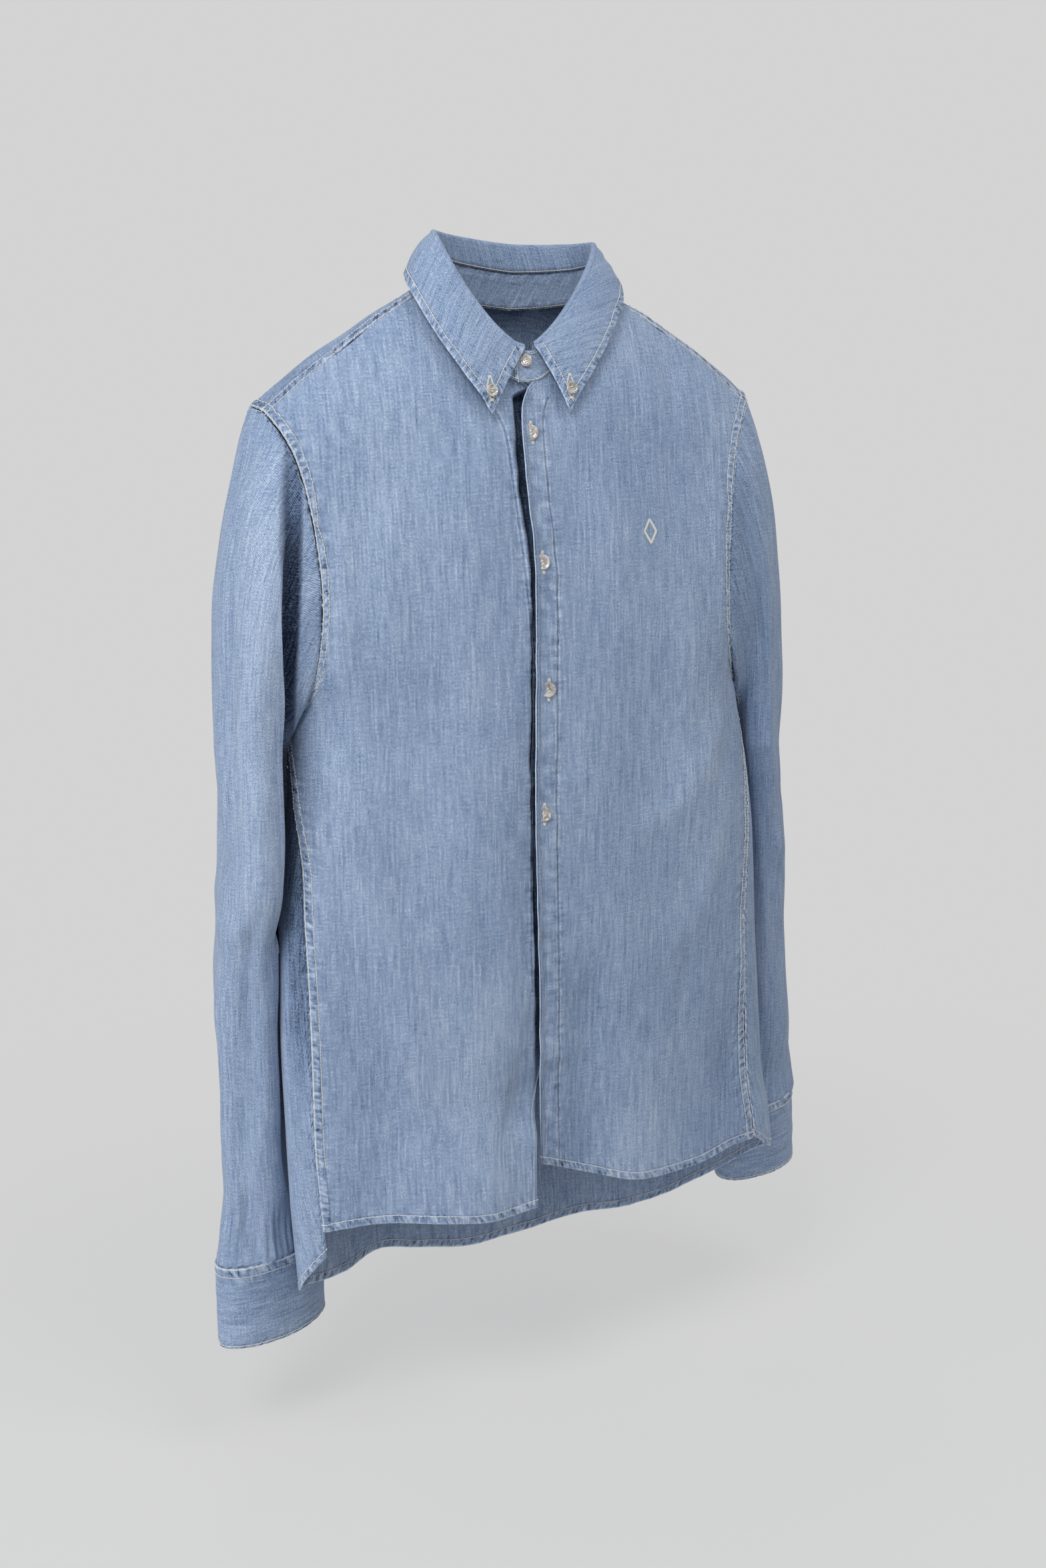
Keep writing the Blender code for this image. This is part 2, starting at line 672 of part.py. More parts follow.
def leaf_point(side, turn, down):
    """A point of the leaf. Turn 0 is its front end and 180 the middle back; down 0 is the stand and 1 the edge."""
    start = LEAF_ENDS[0] if side > 0 else LEAF_ENDS[1]
    round_neck = side * mix(start, 180, turn / 180)
    foot = neck_point(round_neck, "stand_height", -STAND_LEAN - WALL)
    roll_foot = neck_point(round_neck, "roll_height", -STAND_LEAN - WALL)
    out = neck_point(round_neck, "roll_height", 0.01) - neck_point(round_neck, "roll_height", 0)
    out.normalize()
    foot.z += 1.6 * NECK_GAP
    roll_foot.z = max(foot.z + 0.0012, roll_foot.z - ROLL)
    angle = math.pi * min(1, max(0, (down - LEAF_RISE) / (LEAF_FOLD - LEAF_RISE)))
    if down <= LEAF_RISE:
        return foot.lerp(roll_foot, down / LEAF_RISE)
    rolled = roll_foot + out * ROLL * (1 - math.cos(angle)) + Vector((0, 0, ROLL * math.sin(angle)))
    if down <= LEAF_FOLD:
        return rolled
    share = (down - LEAF_FOLD) / (1 - LEAF_FOLD)
    middle = mix(NECK_MIDDLE_BACK, NECK_MIDDLE_FRONT, (1 + math.cos(math.radians(turn))) / 2)
    across, depth, height = (read(LEAF_EDGE, name, turn) for name in ("across", "depth", "height"))
    edge = Vector((middle + side * across, depth, height))
    belly = Vector((0, 0, 0.0022)) + out * 0.0016
    return rolled.lerp(edge, share) + belly * 4 * share * (1 - share)


def make_collar():
    right_half = [-turn for turn in COLLAR_COLUMNS]
    left_half = [turn - 360 for turn in COLLAR_COLUMNS[-2::-1]]
    turns = [STAND_ENDS[0], *right_half, *left_half, STAND_ENDS[1]]
    cloth("collar_stand", [[stand_point(turn, up) for turn in turns] for up in (1, 0.5, 0)])
    downs = (0, LEAF_RISE, mix(LEAF_RISE, LEAF_FOLD, 0.5), LEAF_FOLD, 0.55, 0.78, 1)
    left = [[leaf_point(1, turn, down) for down in downs] for turn in COLLAR_COLUMNS]
    right = [[leaf_point(-1, turn, down) for down in downs] for turn in COLLAR_COLUMNS[:-1]]
    columns = left + right[::-1]
    cloth("collar_leaf", [list(row)[::-1] for row in zip(*columns)])


def facing(point, beside, below, outside):
    """A place for a button on cloth, and the direction that the cloth faces there, which is nearly outside."""
    face = (turned(beside) - turned(point)).cross(turned(below) - turned(point)).normalized()
    if face.dot(outside) < 0:
        face.negate()
    return turned(point) + face * BUTTON_LIFT, face


def make_button(name, place, face, diameter):
    """A turned button with a rim, a dish and four holes, lying on the cloth at place."""
    r, t = diameter / 2, BUTTON_THICK
    profile = ((0.0, 0.0), (0.78 * r, 0.0), (r, 0.55 * t), (0.86 * r, t), (0.62 * r, 0.75 * t), (0.0, 0.72 * t))
    builder = bmesh.new()
    rings = []
    for radius, height in profile:
        if radius == 0:
            rings.append([builder.verts.new((0, 0, height))])
            continue
        turns = [math.tau * k / BUTTON_SIDES for k in range(BUTTON_SIDES)]
        rings.append([builder.verts.new((radius * math.cos(a), radius * math.sin(a), height)) for a in turns])
    for low, high in zip(rings, rings[1:]):
        for k in range(BUTTON_SIDES):
            m = (k + 1) % BUTTON_SIDES
            if len(low) == 1:
                builder.faces.new((low[0], high[m], high[k]))
            elif len(high) == 1:
                builder.faces.new((low[k], low[m], high[0]))
            else:
                builder.faces.new((low[k], low[m], high[m], high[k]))
    button = new_object(name, builder, PEARL, 0.25)
    drill_holes(button, r, t)
    up = Vector((0, 0, 1))
    across = up.cross(face).normalized()
    for vert in button.data.vertices:
        x, y, z = vert.co
        vert.co = place + across * x + face.cross(across) * y + face * z


def drill_holes(button, radius, thickness):
    builder = bmesh.new()
    for k in range(4):
        angle = math.tau * (k + 0.5) / 4
        at = Vector((0.27 * radius * math.cos(angle), 0.27 * radius * math.sin(angle), thickness / 2))
        made = bmesh.ops.create_cone(
            builder,
            cap_ends=True,
            segments=4,
            radius1=0.105 * radius,
            radius2=0.105 * radius,
            depth=2 * thickness,
        )
        bmesh.ops.translate(builder, verts=made["verts"], vec=at)
    mesh = bpy.data.meshes.new("drill")
    builder.to_mesh(mesh)
    builder.free()
    drill = bpy.data.objects.new("drill", mesh)
    bpy.context.scene.collection.objects.link(drill)
    cut = button.modifiers.new("holes", "BOOLEAN")
    cut.operation = "DIFFERENCE"
    cut.solver = "EXACT"
    cut.object = drill
    graph = bpy.context.evaluated_depsgraph_get()
    drilled = bpy.data.meshes.new_from_object(button.evaluated_get(graph))
    button.modifiers.clear()
    button.data = drilled
    bpy.data.objects.remove(drill)


def on_left_front(across, height):
    point = Vector((across, -read(CLOSING, "depth", height), height))
    return parted(1, point, read(CLOSING, "left_edge", height))


def make_buttons():
    ahead, behind = Vector((0, -1, 0)), Vector((0, 1, 0))
    for n in range(FRONT_BUTTONS):
        height = FIRST_BUTTON - n * BUTTON_STEP
        across = read(CLOSING, "buttons", height)
        spot, above, below = (on_left_front(across, height + up) for up in (0, 0.006, -0.006))
        make_button(f"button_front_{n + 1}", *facing(spot, spot + Vector((1, 0, 0)), below, ahead), FRONT_BUTTON)
    spot, beside, below = stand_point(-360, 0.48), stand_point(-357, 0.48), stand_point(-360, 0.2)
    make_button("button_neck", *facing(spot, beside, below, ahead), FRONT_BUTTON)
    for side in (-1, 1):
        spot, beside, below = leaf_point(side, 5, 0.80), leaf_point(side, 8, 0.80), leaf_point(side, 5, 0.9)
        make_button("button_collar_" + SIDES[side], *facing(spot, beside, below, ahead), COLLAR_BUTTON)
        share = 1 - 0.5 * CUFF_LAP / (360 + CUFF_LAP)
        spot, beside = cuff_point(side, share, CUFF_HEIGHT / 2), cuff_point(side, share - 0.01, CUFF_HEIGHT / 2)
        below = spot + Vector((0, 0, -0.01))
        make_button("button_cuff_" + SIDES[side], *facing(spot, beside, below, behind), CUFF_BUTTON)


def make_sleeve_plackets():
    """A strip over the slit above each cuff, at the back of the sleeve."""
    for side in (-1, 1):
        bottom = sleeve_rows(side)["height"][0] + 0.002
        grid = []
        for n in range(PLACKET_ROWS + 1):
            height = bottom + PLACKET_LENGTH * (1 - n / PLACKET_ROWS)
            row = []
            for k in range(4):
                turn = PLACKET_TURN + (k / 3 - 0.5) * PLACKET_TURNS
                here, next_to = sleeve_ring(side, height, turn), sleeve_ring(side, height, turn + 2)
                outward = Vector((here.y - next_to.y, next_to.x - here.x, 0)).normalized()
                rows = sleeve_rows(side)
                centre = Vector((side * read(rows, "across", height), read(rows, "depth", height), height))
                if outward.dot(here - centre) < 0:
                    outward = -outward
                row.append(here + outward * (WALL + 2 * LAP_GAP))
            grid.append(row)
        if side < 0:
            grid = [row[::-1] for row in grid]
        cloth("sleeve_placket_" + SIDES[side], grid)


def clear_scene():
    for obj in list(bpy.data.objects):
        bpy.data.objects.remove(obj)


clear_scene()
make_fronts()
make_back()
make_yoke()
make_sleeves()
make_cuffs()
make_sleeve_plackets()
make_collar()
make_buttons()
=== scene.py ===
import math
from functools import partial

import bpy
import numpy as np
from mathutils import Matrix, Vector


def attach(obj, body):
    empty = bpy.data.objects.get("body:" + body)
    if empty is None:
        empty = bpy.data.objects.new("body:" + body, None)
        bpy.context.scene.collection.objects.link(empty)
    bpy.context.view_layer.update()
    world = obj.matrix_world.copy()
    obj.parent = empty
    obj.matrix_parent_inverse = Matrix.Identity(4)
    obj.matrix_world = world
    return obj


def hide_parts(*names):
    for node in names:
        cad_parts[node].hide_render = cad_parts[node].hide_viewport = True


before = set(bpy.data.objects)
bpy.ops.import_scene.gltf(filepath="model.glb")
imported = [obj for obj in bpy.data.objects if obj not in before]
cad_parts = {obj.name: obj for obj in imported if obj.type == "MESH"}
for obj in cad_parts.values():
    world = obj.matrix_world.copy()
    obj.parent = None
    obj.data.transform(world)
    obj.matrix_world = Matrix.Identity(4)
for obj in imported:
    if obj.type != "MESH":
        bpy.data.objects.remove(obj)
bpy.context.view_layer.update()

# Studio
# A pale floor a hand's breadth under the shirt, which fades into a pale room, with a large soft light
# at the front on the wearer's right and weaker ones on the other side, above and behind.

FLOOR_HEIGHT = -0.86
FLOOR_RADIUS = 6
FLOOR_SIDES = 64
ROOM_LIGHT = (0.97, 0.985, 1.0, 1)
BACKDROP = (0.655, 0.655, 0.655, 1)
CAMERA_LENS = 41.38  # mm, on a sensor 36 mm wide
CAMERA_PLACE = (-0.5864, -1.2054, -0.1462)
CAMERA_RIGHT = (0.89744, -0.44080, -0.01696)
CAMERA_UP = (0.08633, 0.13779, 0.98669)

scene = bpy.context.scene
scene.view_settings.view_transform = "Standard"


def add_node(tree, kind, sockets=None, **settings):
    """A node with its settings, and each named or numbered socket linked to an output or set to a value."""
    made = tree.nodes.new(kind)
    for name, value in settings.items():
        setattr(made, name, value)
    for name, value in (sockets or {}).items():
        if isinstance(value, bpy.types.NodeSocket):
            tree.links.new(value, made.inputs[name])
        else:
            made.inputs[name].default_value = value
    return made


def joined(tree, operation, *values):
    """The output of a chain of Math nodes that joins the values by one operation."""
    total = values[0]
    for value in values[1:]:
        total = add_node(tree, "ShaderNodeMath", {0: total, 1: value}, operation=operation).outputs[0]
    return total


def rise(tree, value, start, end, low=0.0, high=1.0):
    """low before start, high after end and a smooth change between."""
    sockets = {"Value": value, "From Min": start, "From Max": end, "To Min": low, "To Max": high}
    return add_node(tree, "ShaderNodeMapRange", sockets, interpolation_type="SMOOTHSTEP").outputs[0]


def new_mesh_object(name, points, faces, material=None, edges=()):
    """An object at the origin with its own mesh, linked to the scene."""
    mesh = bpy.data.meshes.new(name)
    mesh.from_pydata([tuple(point) for point in points], edges, faces)
    if material:
        mesh.materials.append(material)
    piece = bpy.data.objects.new(name, mesh)
    scene.collection.objects.link(piece)
    return piece


def new_material(name, constants=None):
    """A material with its node tree and its shader, whose named sockets are set to constants."""
    material = bpy.data.materials.new(name)
    material.use_nodes = True
    shader = material.node_tree.nodes["Principled BSDF"]
    for socket, value in (constants or {}).items():
        shader.inputs[socket].default_value = value
    return material, material.node_tree, shader


def floor_material():
    """A matt, pale grey that fades out round the shirt."""
    material, tree, _ = new_material("floor")
    tree.nodes.clear()
    place = add_node(tree, "ShaderNodeTexCoord").outputs["Object"]
    away = add_node(tree, "ShaderNodeVectorMath", {0: place}, operation="LENGTH").outputs["Value"]
    matt = add_node(tree, "ShaderNodeBsdfDiffuse", {"Color": (0.79, 0.79, 0.79, 1)}).outputs[0]
    clear = add_node(tree, "ShaderNodeBsdfTransparent").outputs[0]
    fade = rise(tree, away, 0.4, 1.5, 0.45, 1.0)
    mixed = add_node(tree, "ShaderNodeMixShader", {"Fac": fade, 1: matt, 2: clear}).outputs[0]
    add_node(tree, "ShaderNodeOutputMaterial", {"Surface": mixed})
    return material


ring = []
for k in range(FLOOR_SIDES):
    angle = math.tau * k / FLOOR_SIDES
    ring.append((FLOOR_RADIUS * math.cos(angle), FLOOR_RADIUS * math.sin(angle), FLOOR_HEIGHT))
floor = new_mesh_object("floor", ring, [tuple(range(FLOOR_SIDES))], floor_material())

world = bpy.data.worlds.new("room")
scene.world = world
world.use_nodes = True
room = world.node_tree
room.nodes.clear()
seen = add_node(room, "ShaderNodeLightPath").outputs["Is Camera Ray"]
ambient = add_node(room, "ShaderNodeBackground", {"Color": ROOM_LIGHT, "Strength": 0.43}).outputs[0]
backdrop = add_node(room, "ShaderNodeBackground", {"Color": BACKDROP, "Strength": 1.0}).outputs[0]
both = add_node(room, "ShaderNodeMixShader", {"Fac": seen, 1: ambient, 2: backdrop}).outputs[0]
add_node(room, "ShaderNodeOutputWorld", {"Surface": both})

for name, place, aim, size, watts in (
    ("key", (-1.4, -1.48, 1.35), (0.0, 0.0, -0.1), 1.0, 28.5),
    ("side", (-2.3, -0.5, -0.5), (-0.2, 0.0, -0.55), 1.4, 21.0),
    ("top", (0.4, -1.1, 1.3), (0.0, 0.0, 0.0), 1.0, 9.0),
    ("fill", (2.6, -2.2, 0.4), (0.0, 0.0, -0.4), 2.2, 3.5),
    ("back", (1.2, 2.8, 1.2), (0.0, 0.0, -0.4), 2.2, 14.0),
):
    light = bpy.data.lights.new(name, "AREA")
    light.shape = "DISK"
    light.size = size
    light.energy = watts
    lamp = bpy.data.objects.new(name, light)
    lamp.location = place
    lamp.rotation_euler = (Vector(aim) - Vector(place)).to_track_quat("-Z", "Y").to_euler()
    scene.collection.objects.link(lamp)

right, up = Vector(CAMERA_RIGHT), Vector(CAMERA_UP)
toward = right.cross(up)
camera = bpy.data.objects.new("camera", bpy.data.cameras.new("camera"))
camera.data.lens = CAMERA_LENS
camera.data.sensor_width = 36.0
turn_of_camera = Matrix((right, up, toward)).transposed().to_4x4()
camera.matrix_world = Matrix.Translation(CAMERA_PLACE) @ turn_of_camera
scene.collection.objects.link(camera)
scene.camera = camera

# Back
# One wide panel of washed chambray, from the yoke seam to the longer, curved tail. Its sides are
# felled into the fronts, its upper edge goes into the yoke, and its hem is turned twice and stitched.

FINE = 0.00078  # one layer of the cloth
SQUARENESS = 0.86  # 1 is an ellipse, less is a squarer body
ARMPIT = -0.305
YOKE_BACK_CENTRE = -0.088
YOKE_BACK_SWEEP = 62  # degrees of arc along the seam of back and yoke
TURN = 0.20  # metres that the shirt is turned toward the wearer's right, per metre of depth
TILT = 0.024  # metres that the wearer's left shoulder is higher, per metre across
SIDES = {-1: "right", 1: "left"}
BLENDINGS = 260  # times that rows are blended into each other where two parts of a panel meet
WAVES = 14  # sine waves in a field of unevenness


def table(columns, *rows):
    """A short table as {column name: its values}. The first column is the one that it is read by."""
    return {name: [row[k] for row in rows] for k, name in enumerate(columns.split())}


# The width of the body from its middle to each side, and the side seam's place in degrees from the closing
BODY = table(
    "height right left seam",
    (-0.760, 0.187, 0.212, 61),
    (-0.690, 0.193, 0.222, 61),
    (-0.655, 0.196, 0.219, 61),
    (-0.610, 0.198, 0.210, 62),
    (-0.500, 0.197, 0.203, 63),
    (-0.440, 0.193, 0.201, 66),
    (-0.400, 0.188, 0.200, 70),
    (-0.350, 0.184, 0.194, 80),
    (-0.305, 0.182, 0.184, 90),
)

# The closing: where the buttons and the edges of the two fronts lie across, and how far forward they are
CLOSING = table(
    "height buttons left_edge right_edge depth",
    (-0.700, 0.004, -0.003, -0.0110, 0.050),
    (-0.650, 0.003, -0.003, -0.0100, 0.053),
    (-0.620, 0.002, -0.004, -0.0085, 0.0545),
    (-0.600, 0.002, -0.005, -0.0075, 0.056),
    (-0.560, 0.001, -0.006, 0.0020, 0.0595),
    (-0.520, 0.000, -0.007, 0.0110, 0.063),
    (-0.457, -0.006, -0.009, 0.011, 0.068),
    (-0.373, -0.003, -0.011, 0.012, 0.073),
    (-0.286, 0.001, -0.010, 0.014, 0.076),
    (-0.198, -0.002, -0.009, 0.012, 0.075),
    (-0.130, -0.006, -0.014, 0.009, 0.070),
    (-0.072, -0.007, -0.015, 0.007, 0.060),
)

CENTRE_BACK = table(
    "height depth",
    (-0.760, 0.043),
    (-0.600, 0.051),
    (-0.500, 0.058),
    (-0.350, 0.069),
    (-0.250, 0.076),
    (-0.150, 0.077),
    (-0.088, 0.070),
)

# The armhole, in degrees from the shoulder point, forward and under the arm
ARMHOLE = table(
    "turn across depth height",
    (0, 0.200, 0.004, -0.082),
    (25, 0.191, -0.018, -0.090),
    (60, 0.174, -0.038, -0.122),
    (90, 0.164, -0.049, -0.175),
    (120, 0.161, -0.051, -0.230),
    (150, 0.168, -0.038, -0.280),
    (210, 0.180, 0.022, -0.292),
    (235, 0.173, 0.042, -0.250),
    (260, 0.163, 0.053, -0.195),
    (290, 0.166, 0.051, -0.150),
    (315, 0.177, 0.041, -0.120),
    (340, 0.191, 0.023, -0.095),
    (360, 0.200, 0.004, -0.082),
)
UNDER_ARM = 0.181  # across, where its lowest point would lie if both sides were alike
FRONT_YOKE_TURN = 25
BACK_YOKE_TURN = 315

# Its hem, by share of the way from the middle to the side seam
HEM_BACK = table(
    "share right left",
    (0.00, -0.7410, -0.7410),
    (0.10, -0.7425, -0.7365),
    (0.20, -0.7345, -0.7375),
    (0.30, -0.7275, -0.7315),
    (0.40, -0.7355, -0.7215),
    (0.50, -0.7365, -0.7115),
    (0.60, -0.7335, -0.7010),
    (0.75, -0.7290, -0.6910),
    (0.90, -0.7110, -0.6830),
    (1.00, -0.6960, -0.6690),
)


def mix(a, b, share):
    return a + (b - a) * share


def ease(x, start, end):
    """0 before start, 1 after end and a smooth change between, of one number or of many."""
    share = np.clip((x - start) / (end - start), 0.0, 1.0)
    return share * share * (3 - 2 * share)


def fades(x, start, end):
    """1 before start and 0 after end."""
    return 1 - ease(x, start, end)


def bell(x, width):
    """1 where x is 0, dying away over a width on both sides of it."""
    return np.exp(-((x / width) ** 2))


def read(rows, column, at):
    """A smooth value of one column of a table, held at the table's ends."""
    places = next(iter(rows.values()))
    values = rows[column]
    if at <= places[0]:
        return values[0]
    if at >= places[-1]:
        return values[-1]
    k = max(i for i, place in enumerate(places) if place <= at)
    width = places[k + 1] - places[k]
    share = (at - places[k]) / width

    def slope(i):
        if i in (0, len(places) - 1):
            j = min(i, len(places) - 2)
            return (values[j + 1] - values[j]) / (places[j + 1] - places[j])
        return (values[i + 1] - values[i - 1]) / (places[i + 1] - places[i - 1])

    square, cube = share * share, share**3
    return (
        values[k] * (2 * cube - 3 * square + 1)
        + values[k + 1] * (3 * square - 2 * cube)
        + width * slope(k) * (cube - 2 * square + share)
        + width * slope(k + 1) * (cube - square)
    )


def swing(angle):
    """(sideways, forward) shares of a slightly squared arc, at an angle from its middle."""
    s, c = math.sin(angle), math.cos(angle)
    return abs(s) ** SQUARENESS, math.copysign(abs(c) ** SQUARENESS, c)


def arc_point(inner, outer, sweep, share):
    """A point on the cloth's curve from an inner edge, which it leaves squarely, to an outer edge."""
    sideways, forward = swing(sweep * share)
    all_sideways, all_forward = swing(sweep)
    return Vector(
        (
            mix(inner.x, outer.x, sideways / all_sideways),
            mix(outer.y, inner.y, (forward - all_forward) / (1 - all_forward)),
            mix(inner.z, outer.z, share),
        )
    )


def side_seam(side, height):
    """A point of the seam between front and back."""
    sideways, forward = swing(math.radians(read(BODY, "seam", height)))
    across = side * read(BODY, SIDES[side], height) * sideways
    return Vector((across, -read(CLOSING, "depth", height) * forward, height))


def armhole(side, turn):
    """A point of the armhole, whose lowest point is the top of the side seam."""
    lowest = side_seam(side, ARMPIT)
    low_row = {"turn": 180, "across": abs(lowest.x), "depth": lowest.y, "height": lowest.z}
    place = ARMHOLE["turn"].index(210)
    rows = {name: [*values[:place], low_row[name], *values[place:]] for name, values in ARMHOLE.items()}
    across, depth, height = (read(rows, name, turn) for name in ("across", "depth", "height"))
    nearness = ((1 - math.cos(math.radians(turn))) / 2) ** 4
    across += (abs(lowest.x) - UNDER_ARM) * nearness * (turn != 180)
    return Vector((side * across, depth, height))


def back_point(side, share, level):
    """A point of the back. Level 0 is the hem, 1 the armpit and 2 the yoke seam."""
    if level <= 1:
        hem = read(HEM_BACK, SIDES[side], share)
        height = mix(hem, ARMPIT, level)
        outer = side_seam(side, height)
        sweep = math.radians(180 - read(BODY, "seam", height))
    else:
        height = mix(ARMPIT, YOKE_BACK_CENTRE, level - 1)
        outer = armhole(side, mix(180, BACK_YOKE_TURN, level - 1))
        low_sweep = 180 - read(BODY, "seam", ARMPIT)
        sweep = math.radians(mix(low_sweep, YOKE_BACK_SWEEP, ease(level, 1.0, 1.75)))
    inner = Vector((0, read(CENTRE_BACK, "depth", height), height))
    return arc_point(inner, outer, sweep, share)


def crowded(count, *spots):
    """Shares from 0 to 1, closer together round each spot of (place, reach, how many times closer)."""
    steps = np.linspace(0, 1, 2001)
    density = np.ones_like(steps)
    for place, reach, times in spots:
        density += (times - 1) * bell(steps - place, reach)
    filled = np.concatenate([[0], np.cumsum((density[1:] + density[:-1]) / 2)])
    return np.interp(np.linspace(0, filled[-1], count), filled, steps)


def between(values, places):
    """Rows of values read smoothly at places between them."""
    ends = np.concatenate([[2 * values[0] - values[1]], values, [2 * values[-1] - values[-2]]])
    k = np.clip(np.floor(places).astype(int), 0, len(values) - 2)
    share = (places - k).reshape(-1, *[1] * (values.ndim - 1))
    a, b, c, d = ends[k], ends[k + 1], ends[k + 2], ends[k + 3]
    return b + 0.5 * share * (c - a + share * (2 * a - 5 * b + 4 * c - d + share * (3 * (b - c) + d - a)))


def grid_of(point_at, levels, shares, rows):
    """A fine grid of points: point_at(share, level) at every share, in rows placed among the levels."""
    coarse = [[tuple(point_at(float(share), float(level))) for share in shares] for level in levels]
    coarse = np.array(coarse)
    return between(coarse, np.asarray(rows) * (len(levels) - 1))


def eased(grid, amounts):
    """The grid with its rows blended into each other by amounts from 0 to 1, where a line might show."""
    inside = fades(np.linspace(0, 1, grid.shape[1]), 0.97, 1.0)
    amounts = np.asarray(amounts)[1:-1, None, None] * inside[:, None]
    for _ in range(BLENDINGS):
        blended = (grid[:-2] + 2 * grid[1:-1] + grid[2:]) / 4
        grid[1:-1] += amounts * (blended - grid[1:-1])
    return grid


def lengths_along(grid, axis):
    """How far along the cloth each point is from the first row or column."""
    steps = np.linalg.norm(np.diff(grid, axis=axis), axis=-1)
    return np.insert(np.cumsum(steps, axis=axis), 0, 0, axis=axis)


def laid_flat(grid, column):
    """The points' x, with the cloth unrolled from the body on both sides of one column."""
    across = np.diff(grid[..., 0], axis=1)
    steps = np.hypot(across, np.diff(grid[..., 1], axis=1)) * np.sign(across.sum())
    around = np.insert(np.cumsum(steps, axis=1), 0, 0, axis=1)
    return grid[:, [column], 0] + around - around[:, [column]]


def unevenness(across, along, size, seed):
    """A smooth field from about -1 to 1 over cloth, whose bumps are size = (across, along) metres."""
    chance = np.random.default_rng(seed)
    total = np.zeros(np.broadcast(across, along).shape)
    for _ in range(WAVES):
        angle, phase = chance.uniform(0, math.tau), chance.uniform(0, math.tau)
        stretch = chance.uniform(0.6, 1.5)
        turn_across = math.tau / size[0] * math.cos(angle) * stretch
        turn_along = math.tau / size[1] * math.sin(angle) * stretch
        total += np.sin(across * turn_across + along * turn_along + phase)
    return total / math.sqrt(WAVES / 2) / 1.6


def crease(across, along, path, height, width):
    """A soft ridge, or a trough if its height is negative, along a path of (across, along) points.

    It dies away at both ends."""
    path = np.array(path, float)
    fine = between(path, np.linspace(0, len(path) - 1, 10 * len(path)))
    run = np.linspace(0, 1, len(fine))
    nearest = np.full(across.shape, 9.0)
    at = np.zeros(across.shape)
    for (x0, y0), (x1, y1), t0, t1 in zip(fine, fine[1:], run, run[1:]):
        dx, dy = x1 - x0, y1 - y0
        share = np.clip(((across - x0) * dx + (along - y0) * dy) / (dx * dx + dy * dy + 1e-12), 0, 1)
        gap = np.hypot(across - x0 - share * dx, along - y0 - share * dy)
        closer = gap < nearest
        nearest = np.where(closer, gap, nearest)
        at = np.where(closer, mix(t0, t1, share), at)
    fade = ease(at, 0, 0.3) * fades(at, 0.7, 1.0)
    return height * fade * bell(nearest, width)


def hang(points):
    """The points as they hang, turned toward the wearer's right, with the left shoulder higher.

    The top of the collar leans the other way."""
    x, y, z = points[..., 0], points[..., 1], points[..., 2]
    higher = ease(z, -0.35, -0.12) - 2.1 * ease(z, -0.05, 0.03)
    return np.stack([x + TURN * y, y, z + TILT * x * higher], axis=-1)


def normals_of(grid, tube):
    """The direction that the cloth faces at each point. The sides of a tube are sewn to each other."""
    if tube:
        beside = np.roll(grid, -1, axis=1) - np.roll(grid, 1, axis=1)
    else:
        beside = np.gradient(grid, axis=1)
    facing = np.cross(beside, np.gradient(grid, axis=0))
    return facing / np.maximum(np.linalg.norm(facing, axis=-1, keepdims=True), 1e-12)


def edge_distances(grid):
    """How far each point is along the cloth from its four edges."""
    across, along = lengths_along(grid, 1), lengths_along(grid, 0)
    return {
        "first_column": across,
        "last_column": across[:, -1:] - across,
        "first_row": along,
        "last_row": along[-1:] - along,
    }


PUCKER = 0.0042  # metres from one pucker to the next along a seam
HEM_ROW = 0.0062  # from the hem's edge to its row of stitching


def sewn_edges(grid, seed, **bands):
    """What the sewing does to the cloth beside its edges.

    bands is edge=(width of the sewn band, how thick it stands, how much it puckers). It returns the relief,
    the wall's thickness, and for the finish the run along the nearest seam and the share of its band."""
    gaps = edge_distances(grid)
    share = np.full(grid.shape[:2], 3.0)
    run = np.zeros(grid.shape[:2])
    relief = np.zeros(grid.shape[:2])
    thick = np.full(grid.shape[:2], FINE)
    for number, (edge, (width, stands, puckers)) in enumerate(bands.items()):
        along_seam = gaps["first_row"] if "column" in edge else gaps["first_column"]
        gap = gaps[edge]
        here = np.minimum(gap / width, 3.0)
        nearer = here < share
        share = np.where(nearer, here, share)
        run = np.where(nearer, along_seam + 0.37 * number, run)
        band = fades(gap, 0.80 * width, 1.12 * width)
        rope = unevenness(along_seam + 0.35 * gap, gap, (PUCKER * 1.15, 0.016), seed + number)
        rays = unevenness(along_seam, gap, (PUCKER * 1.8, 0.030), seed + 40 + number)
        beyond = ease(gap, 0.9 * width, 1.1 * width) * fades(gap, width, width + 0.013)
        relief += band * (stands * 0.7 + puckers * rope) + beyond * puckers * 0.8 * rays
        relief -= 0.00035 * fades(gap, 0.0, 0.0012)
        relief -= 0.00022 * bell(gap - width, 0.0007)
        thick += band * stands * ease(gap, -0.0004, 0.0012)
    return relief, thick, run, share


